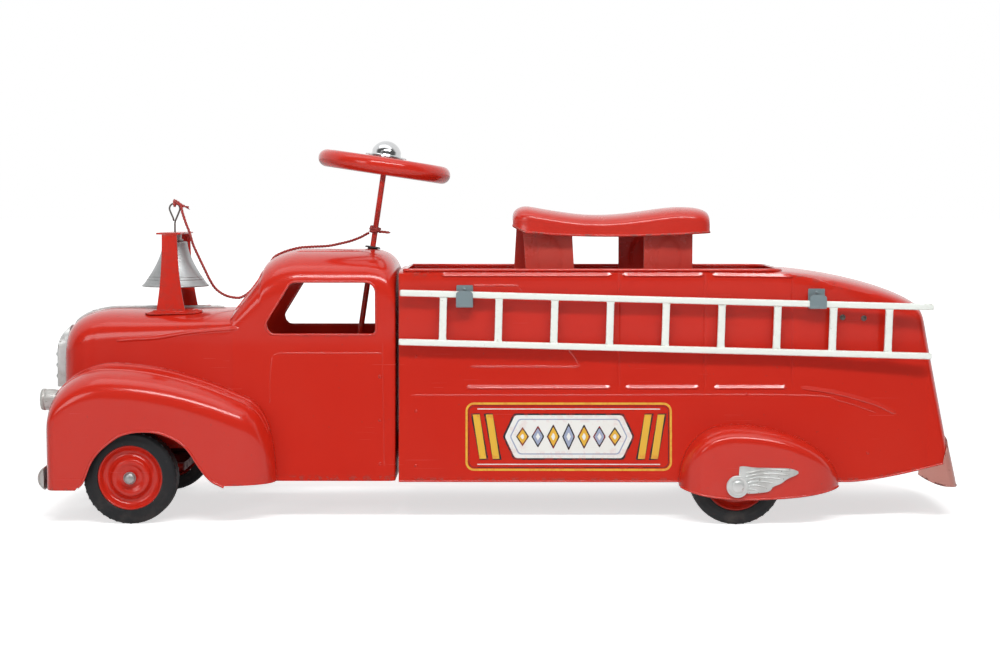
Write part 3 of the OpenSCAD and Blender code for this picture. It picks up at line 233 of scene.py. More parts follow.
def rf_top(e):
    return 40.0 + 66.0 * np.where(e < 0, blunt((e + REAR_NOSE) / 60.0, 2.2), blunt((REAR_END - e) / 116.0, 2.0))


def rf_in(e, z):
    return hose_w(e) + side_out(np.maximum(SILL_Z, z)) + GAP


def rf_w(e):
    inner = hose_w(e) + side_out(SILL_Z) + 1.8
    ends = np.minimum(blunt((e + REAR_NOSE) / 34.0, 2.2), blunt((REAR_END - e) / 56.0, 2.0))
    return inner + (FENDER_HALF - inner) * ends


def rf_low(e):
    return 29.0 + 10.0 * (np.abs(e - 8.0) / np.where(e < 8.0, 68.0, 108.0)) ** 2


def rf_round(e):
    return np.minimum(18.0, 0.6 * (rf_top(e) - rf_low(e)))


# Mesh making


def as_points(*columns):
    return np.stack(np.broadcast_arrays(*[np.asarray(c, float) for c in columns]), -1)


def unit(vectors):
    return vectors / np.linalg.norm(vectors, axis=-1, keepdims=True)


def lengths(line):
    """How far along the line each of its points is."""
    return np.concatenate([[0.0], np.cumsum(np.linalg.norm(np.diff(line, axis=0), axis=1))])


def even(line, count):
    """The same line with its points evenly spaced."""
    along = lengths(line)
    want = np.linspace(0.0, along[-1], count)
    return np.stack([np.interp(want, along, line[:, k]) for k in range(line.shape[1])], -1)


def track(points, step=4.0):
    """The line through the points, in short even steps."""
    points = np.asarray(points, float)
    return even(points, max(6, int(lengths(points)[-1] / step)))


def arc(radius, start, end, count, across=0.0, up=0.0):
    """Points on an arc round (across, up), its angles in radians."""
    a = np.linspace(start, end, count)
    return as_points(across + radius * np.cos(a), up + radius * np.sin(a))


def moved(points, place):
    matrix = np.array(place, float)
    return np.asarray(points, float) @ matrix[:3, :3].T + matrix[:3, 3]


def at(x, y, z):
    return Matrix.Translation((x, y, z))


def turn(axis, degrees):
    return Matrix.Rotation(math.radians(degrees), 4, axis)


def mirror(side):
    return np.array([1.0, side, 1.0])


def smooth(line, count, closed=False):
    """A rounder line through the given points."""
    p = np.asarray(line, float)
    if closed:
        p = np.concatenate([p[-2:], p, p[:3]])
    else:
        p = np.concatenate([[2 * p[0] - p[1]], p, [2 * p[-1] - p[-2]]])
    out = []
    for i in range(1, len(p) - 2):
        t = np.linspace(0.0, 1.0, 16, endpoint=False)[:, None]
        a, b, c, d = p[i - 1], p[i], p[i + 1], p[i + 2]
        out.append(0.5 * (2 * b + (c - a) * t + (2 * a - 5 * b + 4 * c - d) * t**2 + (3 * b - a - 3 * c + d) * t**3))
    line = np.concatenate(out + [p[-2:-1]])
    if closed:
        line = line[16:-32]
    return even(line, count)


def rounded(corners, steps=6):
    """A closed outline whose corners (x, y, radius) are rounded."""
    out = []
    n = len(corners)
    for i in range(n):
        p = np.array(corners[i][:2], float)
        r = corners[i][2]
        a = np.array(corners[i - 1][:2], float) - p
        b = np.array(corners[(i + 1) % n][:2], float) - p
        a = unit(a)
        b = unit(b)
        half = 0.5 * math.acos(float(np.clip(a @ b, -1.0, 1.0)))
        if r <= 0 or half > 1.55:
            out.append(p)
            continue
        reach = r / math.tan(half)
        start = p + a * reach
        end = p + b * reach
        middle = p + (a + b) / np.linalg.norm(a + b) * r / math.sin(half)
        for k in range(steps + 1):
            t = k / steps
            q = start * (1 - t) + end * t - middle
            out.append(middle + q / np.linalg.norm(q) * r)
    return np.array(out)


class Shape:
    """Collects the faces of one piece."""

    def __init__(self):
        self.points = []
        self.faces = []
        self.count = 0

    def add(self, points, faces):
        points = np.asarray(points, float).reshape(-1, 3)
        self.points.append(points)
        for f in faces:
            self.faces.append([int(i) + self.count for i in f])
        self.count += len(points)
        return self

    def loft(self, rings, wrap=False, caps=False):
        rings = np.asarray(rings, float)
        n, m, _ = rings.shape
        i, j = np.meshgrid(np.arange(n - 1), np.arange(m if wrap else m - 1), indexing="ij")
        a = i * m + j
        b = i * m + (j + 1) % m
        quads = np.stack([a, b, b + m, a + m], -1).reshape(-1, 4).tolist()
        if caps:
            quads += [list(range(m))[::-1], list(range((n - 1) * m, n * m))]
        return self.add(rings, quads)

    def shell(self, outer, inner, tub=False):
        """A sheet between two grids of points; a tub is closed at its two ends and open below."""
        outer = np.asarray(outer, float)
        n, m, _ = outer.shape
        k = n * m
        i, j = np.meshgrid(np.arange(n - 1), np.arange(m - 1), indexing="ij")
        a = (i * m + j).ravel()
        skin = np.stack([a, a + 1, a + 1 + m, a + m], -1)
        faces = skin.tolist() + (skin[:, ::-1] + k).tolist()
        for q in (0, m - 1):
            a = np.arange(n - 1) * m + q
            edge = np.stack([a, a + m, a + m + k, a + k], -1)
            faces += (edge if q == 0 else edge[:, ::-1]).tolist()
        last = (n - 1) * m
        if tub:
            faces += [list(range(m))[::-1], list(range(last, last + m))]
            faces += [list(range(k, k + m)), list(range(k + last, k + last + m))[::-1]]
            faces += [[0, m - 1, k + m - 1, k], [last, last + k, last + k + m - 1, last + m - 1]]
        else:
            for q in (0, last):
                a = np.arange(m - 1) + q
                edge = np.stack([a, a + 1, a + 1 + k, a + k], -1)
                faces += (edge[:, ::-1] if q == 0 else edge).tolist()
        return self.add(np.concatenate([outer.reshape(-1, 3), np.asarray(inner, float).reshape(-1, 3)]), faces)

    def turned(self, profile, place, sides=64):
        """A profile of (radius, height) turned about the Z axis of place; it closes at radius zero."""
        angle = np.linspace(0.0, 2 * math.pi, sides, endpoint=False)
        rings = [as_points(r * np.cos(angle), r * np.sin(angle), h) for r, h in profile]
        return self.loft(moved(rings, place), wrap=True)

    def tube(self, path, radius, sides=16, closed=False, flat=1.0):
        """A round bar along a line; flat squeezes it at right angles to its bend."""
        path = np.asarray(path, float)
        along = np.roll(path, -1, 0) - np.roll(path, 1, 0) if closed else np.gradient(path, axis=0)
        u = None
        rings = []
        angle = np.linspace(0.0, 2 * math.pi, sides, endpoint=False)
        for p, t, r in zip(path, unit(along), np.broadcast_to(radius, (len(path),))):
            u = np.cross(t, [0.31, 0.87, 0.39]) if u is None else u
            u = unit(u - t * (u @ t))
            rings.append(p + r * (np.cos(angle)[:, None] * u + flat * np.sin(angle)[:, None] * np.cross(t, u)))
        if not closed:
            return self.loft(rings, wrap=True, caps=True)
        # the last ring is the first one again, turned to lie nearest the ring before it
        turns = [np.roll(rings[0], s, 0) for s in range(sides)]
        last = min(turns, key=lambda ring: np.linalg.norm(ring - rings[-1]))
        return self.loft(rings + [last], wrap=True)

    def slab(self, outline, low, high, place=None):
        """A flat outline with thickness, along the Z axis of place."""
        outline = np.asarray(outline, float)
        rings = np.array([as_points(outline[:, 0], outline[:, 1], h) for h in (low, high)])
        return self.loft(rings if place is None else moved(rings, place), wrap=True, caps=True)

    def bead(self, points, normals, width, height, ledge=False):
        """A low pressed bead that follows a line on a surface and runs out at its ends; a ledge is flat above."""
        across = np.cross(unit(np.gradient(points, axis=0)), normals)
        along = lengths(points)
        fade = np.minimum(1.0, np.minimum(along, along[-1] - along) / (0.9 * width))
        fade = np.sqrt(1.0 - (1.0 - fade) ** 2)
        top = np.sign(across[:, 2].mean())
        sunk = 0.06
        rings = []
        for t in np.linspace(-1.0, 1.0, 15):
            high = math.cos(QUARTER * t) ** 2
            if ledge:
                high = (1 - t * top) / 1.4 if t * top > -0.4 else 1 - ((-0.4 - t * top) / 0.6) ** 2
            out = across * (0.5 * width * t * np.maximum(0.3, fade))[:, None]
            rings.append(points + out + normals * (fade * height * high - sunk)[:, None])
        rings.append(points - normals * 0.5)
        return self.loft(np.array(rings).transpose(1, 0, 2), wrap=True, caps=True)

    def made(self, name, origin=ORIGIN):
        """The object, in metres, with its doubles merged and its faces outwards."""
        mesh = bpy.data.meshes.new(name)
        points = (np.concatenate(self.points) + origin) * MM
        mesh.from_pydata(points.tolist(), [], self.faces)
        work = bmesh.new()
        work.from_mesh(mesh)
        bmesh.ops.remove_doubles(work, verts=work.verts, dist=2e-6)
        bmesh.ops.dissolve_degenerate(work, dist=1e-7, edges=work.edges)
        bmesh.ops.recalc_face_normals(work, faces=work.faces)
        work.to_mesh(mesh)
        work.free()
        item = bpy.data.objects.new(name, mesh)
        bpy.context.scene.collection.objects.link(item)
        return item

    def piece(self, name, finish, *nodes, body="root", angle=60):
        return dress(self.made(name), finish, *nodes, body=body, angle=angle)


def settle(item):
    """Applies what modifiers the object has."""
    bpy.context.view_layer.update()
    deps = bpy.context.evaluated_depsgraph_get()
    mesh = bpy.data.meshes.new_from_object(item.evaluated_get(deps), depsgraph=deps)
    item.modifiers.clear()
    old = item.data
    item.data = mesh
    bpy.data.meshes.remove(old)
    return item


def cut(item, *tools):
    for tool in tools:
        step = item.modifiers.new("cut", "BOOLEAN")
        step.operation = "DIFFERENCE"
        step.solver = "EXACT"
        step.object = tool
        settle(item)
        bpy.data.objects.remove(tool)
    return item


def ease(item, width, angle):
    """Rounds the sharp edges."""
    step = item.modifiers.new("ease", "BEVEL")
    step.width = width * MM
    step.segments = 2
    step.limit_method = "ANGLE"
    step.angle_limit = math.radians(angle)
    step.miter_outer = "MITER_ARC"
    return settle(item)


def dress(item, finish, *nodes, body="root", angle=38, slot=None):
    """Gives a piece its finish, its shading and its body, and hides the solids that it stands for."""
    mesh = item.data
    mesh.materials.clear()
    mesh.materials.append(finish)
    mesh.shade_smooth()
    mesh.set_sharp_from_angle(angle=math.radians(angle))
    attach(item, body)
    if nodes:
        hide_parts(*nodes)
    return item


def on_side(wall, x, z, side, lift=0.0):
    """Points on a side wall y = wall(x, z), and the wall's directions there."""
    x, z = np.broadcast_arrays(np.asarray(x, float), np.asarray(z, float))
    along = wall(x + 0.5, z) - wall(x - 0.5, z)
    up = wall(x, z + 0.5) - wall(x, z - 0.5)
    across = unit(as_points(-along, 1.0, -up))
    return (as_points(x, wall(x, z), z) + across * lift) * mirror(side), across * mirror(side)


def cab_wall(x, z):
    return cab_y(x - AXLE_F, z)


def hose_wall(x, z):
    return hose_y(x - AXLE_R, z)


def on_top(d, y, lift=0.0):
    """Points on the top of the cab pressing, and its directions there."""
    d, y = np.broadcast_arrays(np.asarray(d, float), np.asarray(y, float))
    along = hood_height(d + 0.5, y) - hood_height(d - 0.5, y)
    across = hood_height(d, y + 0.5) - hood_height(d, y - 0.5)
    up = unit(as_points(-along, -across, 1.0))
    return as_points(AXLE_F + d, y, hood_height(d, y)) + up * lift, up


# Node groups and finishes
COLOUR = "NodeSocketColor"
NUMBER = "NodeSocketFloat"


class Wiring:
    """Short ways to add and join nodes."""

    def __init__(self, tree):
        self.tree = tree
        self.nodes = tree.nodes

    def put(self, socket, value):
        if isinstance(value, bpy.types.NodeSocket):
            self.tree.links.new(value, socket)
        elif value is not None:
            socket.default_value = value

    def node(self, kind, settings=None, **values):
        n = self.nodes.new(kind)
        for key, value in (settings or {}).items():
            setattr(n, key, value)
        for key, value in values.items():
            self.put(n.inputs[key.replace("_", " ")], value)
        return n

    def sum(self, operation, a, b=None, clamp=False):
        n = self.nodes.new("ShaderNodeMath")
        n.operation = operation
        n.use_clamp = clamp
        for socket, value in zip(n.inputs, (a, b)):
            self.put(socket, value)
        return n.outputs[0]

    def times(self, a, b, clamp=False):
        return self.sum("MULTIPLY", a, b, clamp)

    def plus(self, a, b, clamp=False):
        return self.sum("ADD", a, b, clamp)

    def blend(self, amount, a, b):
        n = self.nodes.new("ShaderNodeMix")
        n.data_type = "RGBA"
        for index, value in ((0, amount), (6, a), (7, b)):
            self.put(n.inputs[index], value)
        return n.outputs[2]

    def noise(self, place, scale, detail=3.0, rough=0.55):
        return self.node("ShaderNodeTexNoise", Vector=place, Scale=scale, Detail=detail,
                         Roughness=rough).outputs["Fac"]

    def between(self, value, low, high, start=0.0, end=1.0):
        n = self.nodes.new("ShaderNodeMapRange")
        n.interpolation_type = "SMOOTHSTEP"
        for socket, number in zip(n.inputs, (value, low, high, start, end)):
            self.put(socket, number)
        return n.outputs[0]

    def stretched(self, place, scale, turned=(0.0, 0.0, 0.0)):
        return self.node("ShaderNodeMapping", Vector=place, Scale=scale, Rotation=turned).outputs[0]

    def place(self, output="Object"):
        return self.node("ShaderNodeTexCoord").outputs[output]

    def part(self, vector, axis):
        return self.node("ShaderNodeSeparateXYZ", Vector=vector).outputs[axis]

    def group_of(self, tree, **values):
        return self.node("ShaderNodeGroup", {"node_tree": tree}, **values).outputs


def new_group(name, kind, inputs, outputs):
    """A node group, the wiring of its tree and what it is given."""
    tree = bpy.data.node_groups.new(name, kind)
    for label, sort, value in inputs:
        socket = tree.interface.new_socket(name=label, in_out="INPUT", socket_type=sort)
        if value is not None:
            socket.default_value = value
    for label, sort in outputs:
        tree.interface.new_socket(name=label, in_out="OUTPUT", socket_type=sort)
    w = Wiring(tree)
    return tree, w, w.node("NodeGroupInput").outputs


def surface_group(name, colours, numbers):
    """A shader group that gives the colour, roughness and relief of a finish."""
    inputs = [(label, COLOUR, value + (1,)) for label, value in colours]
    inputs += [(label, NUMBER, value) for label, value in numbers]
    outputs = [("Colour", COLOUR), ("Roughness", NUMBER), ("Height", NUMBER)]
    return new_group(name, "ShaderNodeTree", inputs, outputs)


def fresh(block):
    """Wiring for a material or a world whose own nodes are taken out first."""
    block.use_nodes = True
    block.node_tree.nodes.clear()
    return Wiring(block.node_tree)


def dust_group():
    """Dust that settles on what faces up, and soft grime low down."""
    inputs = [("Amount", NUMBER, 0.3), ("Low height", NUMBER, 0.06)]
    tree, w, given = new_group("settled dust", "ShaderNodeTree", inputs, [("Dust", NUMBER)])
    place = w.place()
    up = w.between(w.part(w.node("ShaderNodeNewGeometry").outputs["Normal"], "Z"), 0.45, 1.0)
    low = w.between(w.part(place, "Z"), given["Low height"], 0.0)
    patch = w.between(w.noise(place, 38.0, 6.0, 0.62), 0.42, 0.72)
    total = w.plus(w.times(up, 0.75), w.times(low, 0.8))
    w.node("NodeGroupOutput", Dust=w.times(w.times(total, patch), given["Amount"], clamp=True))
    return tree


def enamel_group(dust):
    """Old stoved enamel: faint orange peel, dents, fine scratches, and chips down to the primer."""
    tree, w, given = surface_group(
        "stoved enamel",
        [("Paint", (0.6, 0.01, 0.01)), ("Faded", (0.7, 0.05, 0.04)), ("Primer", (0.1, 0.05, 0.04))],
        [("Chips", 0.3), ("Scratches", 0.3), ("Dust", 0.3), ("Gloss", 0.2)],
    )
    place = w.place()
    mottle = w.between(w.noise(place, 7.0, 3.0), 0.35, 0.75)
    colour = w.blend(w.times(mottle, 0.22), given["Paint"], given["Faded"])
    speck = w.between(w.noise(place, 210.0, 4.0, 0.6), 0.685, 0.70)
    colour = w.blend(w.times(speck, w.times(given["Chips"], 0.7)), colour, given["Primer"])
    edge = w.between(w.node("ShaderNodeNewGeometry").outputs["Pointiness"], 0.515, 0.56)
    ragged = w.between(w.noise(place, 120.0, 6.0, 0.7), 0.50, 0.56)
    chip = w.times(w.times(edge, ragged), given["Chips"], clamp=True)
    colour = w.blend(chip, colour, given["Primer"])
    lines = []
    for tilt, across in (((0.1, 0.35, 0.2), 1.0), ((0.7, -0.5, 1.1), 1.3)):
        streak = w.noise(w.stretched(place, (3.0 * across, 3.0, 260.0), tilt), 3.0, 2.0, 0.4)
        gate = w.between(w.noise(place, 11.0 * across, 1.0), 0.55, 0.62)
        lines.append(w.times(w.between(streak, 0.70, 0.735), gate))
    scratch = w.times(w.sum("MAXIMUM", *lines), given["Scratches"], clamp=True)
    colour = w.blend(w.times(scratch, 0.5), colour, given["Faded"])
    settled = w.group_of(dust, Amount=given["Dust"])["Dust"]
    colour = w.blend(w.times(settled, 0.45), colour, (0.42, 0.33, 0.28, 1))
    rough = w.plus(given["Gloss"], w.times(w.noise(place, 16.0, 5.0, 0.6), 0.14))
    rough = w.plus(rough, w.times(w.plus(scratch, w.plus(settled, chip)), 0.35), clamp=True)
    peel = w.times(w.noise(place, 420.0, 2.0), 0.10)
    dent = w.noise(place, 17.0, 2.0, 0.4)
    height = w.sum("SUBTRACT", w.plus(peel, dent), w.times(w.plus(chip, scratch), 0.16))
    w.node("NodeGroupOutput", Colour=colour, Roughness=rough, Height=height)
    return tree


def metal_group(dust):
    """Bare or silvered metal: tone in soft patches, grain, pits and stains."""
    tree, w, given = surface_group(
        "worked metal", [("Tone", (0.8, 0.8, 0.8)), ("Stain", (0.3, 0.25, 0.2))],
        [("Tarnish", 0.3), ("Grain", 0.3), ("Pits", 0.3), ("Gloss", 0.3), ("Dust", 0.2)],
    )
    place = w.place()
    cloud = w.times(w.between(w.noise(place, 24.0, 6.0, 0.62), 0.38, 0.78), given["Tarnish"])
    colour = w.blend(cloud, given["Tone"], given["Stain"])
    pit = w.times(w.between(w.noise(place, 330.0, 3.0), 0.66, 0.70), given["Pits"])
    colour = w.blend(pit, colour, given["Stain"])
    grain = w.noise(w.stretched(place, (6.0, 6.0, 900.0)), 1.0, 3.0, 0.6)
    settled = w.group_of(dust, Amount=given["Dust"])["Dust"]
    colour = w.blend(w.times(settled, 0.5), colour, (0.36, 0.32, 0.28, 1))
    rough = w.plus(given["Gloss"], w.times(grain, w.times(given["Grain"], 0.35)))
    rough = w.plus(rough, w.times(w.plus(cloud, settled), 0.3), clamp=True)
    height = w.sum("SUBTRACT", w.times(grain, given["Grain"]), pit)
    w.node("NodeGroupOutput", Colour=colour, Roughness=rough, Height=height)
    return tree


def bumped(name, bump, reach, make):
    """A material whose surface is what make(w) gives: its inputs, and the height of its relief."""
    material = bpy.data.materials.new(name)
    w = fresh(material)
    inputs, height = make(w)
    rise = w.node("ShaderNodeBump", Strength=bump, Distance=reach, Height=height).outputs["Normal"]
    body = w.node("ShaderNodeBsdfPrincipled", Normal=rise, **inputs)
    w.node("ShaderNodeOutputMaterial", Surface=body.outputs[0])
    return material


def finish(name, slot, group, values, bump, reach, shader):
    """A finish from one of the groups; what is the same all over is set on the shader itself."""
    def make(w):
        skin = w.group_of(group, **values)
        return dict(shader, Base_Color=skin["Colour"], Roughness=skin["Roughness"]), skin["Height"]

    return bumped(name, bump, reach, make)


def painted(name, paint, faded, primer, wear, bump, reach, slot="body_red", **shader):
    """Enamel in its colours; wear is its chips, scratches, dust and gloss."""
    values = {"Paint": paint + (1,), "Faded": faded + (1,), "Primer": primer + (1,)}
    values.update(zip(("Chips", "Scratches", "Dust", "Gloss"), wear))
    return finish(name, slot, enamel, values, bump, reach, shader)


def worked(name, slot, tone, stain, wear, bump, reach, metallic):
    """Metal in its colours; wear is its tarnish, grain, pits, gloss and dust."""
    values = {"Tone": tone + (1,), "Stain": stain + (1,)}
    values.update(zip(("Tarnish", "Grain", "Pits", "Gloss", "Dust"), wear))
    return finish(name, slot, metal, values, bump, reach, {"Metallic": metallic})


dust = dust_group()
enamel = enamel_group(dust)
metal = metal_group(dust)

RED = (0.590, 0.020, 0.0085)
red_enamel = painted("fire red enamel", RED, (0.640, 0.040, 0.020), (0.14, 0.050, 0.040),
                     (0.38, 0.4, 0.2, 0.12), 0.35, 0.0012, Specular_IOR_Level=0.36, Coat_Weight=0.22,
                     Coat_Roughness=0.06)
bead_enamel = painted("fire red enamel on beads and hems", (0.600, 0.024, 0.012), (0.66, 0.06, 0.035),
                      (0.20, 0.06, 0.045), (0.10, 0.2, 0.1, 0.10), 0.15, 0.0006, Coat_Weight=0.5,
                      Coat_Roughness=0.05)
seat_enamel = painted("worn seat enamel", (0.570, 0.022, 0.012), (0.70, 0.10, 0.07), (0.15, 0.06, 0.045),
                      (0.7, 1.0, 0.3, 0.16), 0.35, 0.0010, Specular_IOR_Level=0.4, Coat_Weight=0.2,
                      Coat_Roughness=0.12)
strap_enamel = painted("rubbed seat strap enamel", (0.600, 0.048, 0.034), (0.68, 0.20, 0.15),
                       (0.17, 0.07, 0.055), (0.6, 1.0, 0.2, 0.2), 0.35, 0.0010, Specular_IOR_Level=0.4)
# The step's pale pink base is red enamel paled by a painted reflection of the white surroundings, seen at a grazing
# angle; its chips and scratches are wear.
step_enamel_painted_reflection = painted("scraped step enamel paled by painted reflection", (0.50, 0.20, 0.165), (0.52, 0.36, 0.32), (0.16, 0.05, 0.04),
                      (1.0, 1.0, 0.6, 0.34), 0.4, 0.0010)
# Body red darkened as painted shade under the truck; its dust and dull gloss are wear.
under_red_painted_shade = painted("dull red darkened as painted shade under the truck", (0.115, 0.006, 0.006), (0.16, 0.03, 0.02), (0.05, 0.02, 0.015),
                    (0.8, 0.6, 0.8, 0.42), 0.3, 0.0008)
white_enamel = painted("ladder white enamel", (0.89, 0.935, 0.885), (0.80, 0.82, 0.72), (0.23, 0.17, 0.12),
                       (0.55, 0.3, 0.3, 0.24), 0.25, 0.0006, "ladder_white", Coat_Weight=0.2,
                       Coat_Roughness=0.1)
rubber = painted("tyre rubber", (0.013, 0.014, 0.016), (0.032, 0.032, 0.033), (0.07, 0.065, 0.06),
                 (0.35, 0.5, 0.25, 0.40), 0.5, 0.0006, "tyre_black", Specular_IOR_Level=0.3)
bush_rubber = painted("bush rubber", (0.020, 0.020, 0.021), (0.045, 0.044, 0.043), (0.08, 0.07, 0.06),
                      (0.2, 0.2, 0.5, 0.5), 0.4, 0.0005, "bush_rubber")
stripe_yellow, stripe_white, stripe_black, stripe_blue = (
    painted("signwriter's " + colour, paint, faded, RED, (chips, scratches, 0.2, gloss), 0.2, 0.0004)
    for colour, paint, faded, chips, scratches, gloss in (
        ("yellow", (0.80, 0.47, 0.045), (0.72, 0.40, 0.10), 0.28, 0.9, 0.26),
        ("white", (0.86, 0.87, 0.84), (0.74, 0.70, 0.62), 0.12, 0.6, 0.26),
        ("black", (0.012, 0.013, 0.018), (0.05, 0.045, 0.045), 0.4, 0.6, 0.24),
        ("pale blue", (0.34, 0.40, 0.56), (0.45, 0.46, 0.52), 0.12, 0.7, 0.28),
    )
)
bell_silver = worked("brushed bell silver", "bell_silver", (0.45, 0.465, 0.47), (0.27, 0.265, 0.25),
                     (0.4, 1.0, 0.3, 0.24, 0.15), 0.22, 0.0003, 0.95)
cast_silver = worked("silvered casting", "cast_silver", (0.68, 0.70, 0.69), (0.24, 0.22, 0.19),
                     (0.6, 0.15, 0.9, 0.30, 0.2), 0.6, 0.0006, 0.5)
bumper_silver = worked("silver painted bumper", "cast_silver", (0.62, 0.64, 0.63), (0.28, 0.24, 0.20),
                       (0.4, 0.1, 0.5, 0.32, 0.2), 0.4, 0.0005, 0.35)
chrome = worked("polished chrome", "bright_steel", (0.70, 0.71, 0.72), (0.34, 0.32, 0.29),
                (0.25, 0.05, 0.35, 0.07, 0.1), 0.1, 0.0002, 1.0)
zinc_steel = worked("plain zinced steel", "plain_steel", (0.46, 0.47, 0.47), (0.20, 0.13, 0.08),
                    (0.5, 0.3, 0.5, 0.34, 0.5), 0.3, 0.0004, 0.9)
clip_steel = worked("grey spring clip steel", "clip_steel", (0.24, 0.31, 0.335), (0.14, 0.13, 0.12),
                    (0.4, 0.3, 0.4, 0.38, 0.3), 0.3, 0.0004, 0.45)
wire_steel = worked("dark striker wire", "wire_dark", (0.16, 0.15, 0.14), (0.10, 0.05, 0.03),
                    (0.5, 0.2, 0.5, 0.36, 0.2), 0.3, 0.0003, 0.8)


def cotton(w):
    """Rope cotton: fibres run along each strand by the strand's own UV map."""
    run = w.node("ShaderNodeUVMap", {"uv_map": "strand"}).outputs["UV"]
    fibre = w.noise(w.stretched(run, (260.0, 14.0, 1.0)), 1.0, 3.0, 0.6)
    worn = w.between(w.noise(w.place(), 55.0, 4.0), 0.42, 0.72)
    colour = w.blend(fibre, (0.26, 0.014, 0.014, 1), (0.56, 0.060, 0.050, 1))
    colour = w.blend(w.times(worn, 0.4), colour, (0.48, 0.16, 0.13, 1))
    rough = w.between(fibre, 0.0, 1.0, 0.72, 0.95)
    return {"Base_Color": colour, "Roughness": rough, "Sheen_Weight": 0.35, "Sheen_Roughness": 0.5}, fibre


def lamp_glass(w):
    """Pressed glass of the lamps, with moulded flutes."""
    place = w.place()
    haze = w.noise(place, 90.0, 4.0)
    colour = w.blend(haze, (0.80, 0.82, 0.80, 1), (0.62, 0.62, 0.58, 1))
    rough = w.between(haze, 0.3, 0.8, 0.08, 0.3)
    flute = w.sum("SINE", w.times(w.part(place, "Y"), 2600.0))
    return {"Base_Color": colour, "Roughness": rough, "IOR": 1.5, "Transmission_Weight": 0.35}, flute


rope_cotton = bumped("dyed rope cotton", 0.5, 0.0003, cotton)
glass = bumped("fluted lamp glass", 0.4, 0.0005, lamp_glass)


# Geometry node trees for what repeats


def repeater(name, inputs):
    """A geometry tree that is given a piece or points, and the finish of what it makes."""
    every = [("Geometry", "NodeSocketGeometry", None)] + inputs + [("Finish", "NodeSocketMaterial", None)]
    return new_group(name, "GeometryNodeTree", every, [("Geometry", "NodeSocketGeometry")])


def close_tree(w, given, geometry):
    whole = w.node("GeometryNodeRealizeInstances", Geometry=geometry).outputs[0]
    done = w.node("GeometryNodeSetMaterial", Geometry=whole, Material=given["Finish"]).outputs[0]
    w.node("NodeGroupOutput", Geometry=done)


def rivet_tree():
    """A domed head on a thin collar at each point, turned to the point's own facing."""
    tree, w, given = repeater("rivet heads", [("Head radius", NUMBER, 0.002), ("Head height", NUMBER, 0.001)])
    r, h = given["Head radius"], given["Head height"]
    ball = w.node("GeometryNodeMeshUVSphere", Segments=14, Rings=8, Radius=1.0).outputs["Mesh"]
    size = w.node("ShaderNodeCombineXYZ", X=r, Y=r, Z=h).outputs[0]
    head = w.node("GeometryNodeTransform", Geometry=ball, Scale=size).outputs[0]
    collar = w.node("GeometryNodeMeshCylinder", Vertices=14, Radius=w.times(r, 1.25),
                    Depth=w.times(h, 0.35)).outputs["Mesh"]
    both = w.nodes.new("GeometryNodeJoinGeometry")
    for piece in (head, collar):
        tree.links.new(piece, both.inputs[0])
    facing = w.node("GeometryNodeInputNamedAttribute", {"data_type": "FLOAT_VECTOR"}, Name="facing").outputs[0]
    rotation = w.node("FunctionNodeAlignRotationToVector", {"axis": "Z"}, Vector=facing).outputs[0]
    placed = w.node("GeometryNodeInstanceOnPoints", Points=given["Geometry"], Instance=both.outputs[0],
                    Rotation=rotation).outputs[0]
    close_tree(w, given, placed)
    return tree


def ring_tree():
    """Repeats a piece round an axle that runs along Y."""
    tree, w, given = repeater("round the axle", [("Count", "NodeSocketInt", 12),
                                                 ("Hub", "NodeSocketVector", (0, 0, 0))])
    points = w.node("GeometryNodePoints", Count=given["Count"]).outputs[0]
    index = w.node("GeometryNodeInputIndex").outputs[0]
    angle = w.times(w.sum("DIVIDE", index, given["Count"]), 2 * math.pi)
    euler = w.node("ShaderNodeCombineXYZ", Y=angle).outputs[0]
    rotation = w.node("FunctionNodeEulerToRotation", Euler=euler).outputs[0]
    placed = w.node("GeometryNodeInstanceOnPoints", Points=points, Instance=given["Geometry"],
                    Rotation=rotation).outputs[0]
    close_tree(w, given, w.node("GeometryNodeTransform", Geometry=placed, Translation=given["Hub"]).outputs[0])
    return tree


def row_tree():
    """Repeats a piece along a straight line."""
    tree, w, given = repeater("along a line", [("Count", "NodeSocketInt", 9),
                                               ("Pitch", "NodeSocketVector", (0.06, 0, 0))])
    line = w.node("GeometryNodeMeshLine", {"mode": "OFFSET"}, Count=given["Count"],
                  Offset=given["Pitch"]).outputs[0]
    close_tree(w, given, w.node("GeometryNodeInstanceOnPoints", Points=line, Instance=given["Geometry"]).outputs[0])
    return tree


rivets = rivet_tree()
ring = ring_tree()
row = row_tree()


def grow(item, tree, values):
    """Runs a tree on the object and keeps its result as a plain mesh."""
    step = item.modifiers.new("grow", "NODES")
    step.node_group = tree
    for entry in tree.interface.items_tree:
        if entry.in_out == "INPUT" and entry.name in values:
            step[entry.identifier] = values[entry.name]
    return settle(item)


def rivet_row(name, spots, radius, height, finish_used, slot=None):
    """A rivet head at each spot; a spot is a point and the direction that it faces."""
    mesh = bpy.data.meshes.new(name)
    mesh.from_pydata(metres([p for p, _ in spots]).tolist(), [], [])
    facing = mesh.attributes.new("facing", "FLOAT_VECTOR", "POINT")
    facing.data.foreach_set("vector", np.array([n for _, n in spots], np.float32).ravel())
    item = bpy.data.objects.new(name, mesh)
    bpy.context.scene.collection.objects.link(item)
    grow(item, rivets, {"Head radius": radius * MM, "Head height": height * MM, "Finish": finish_used})
    return dress(item, finish_used, slot=slot)


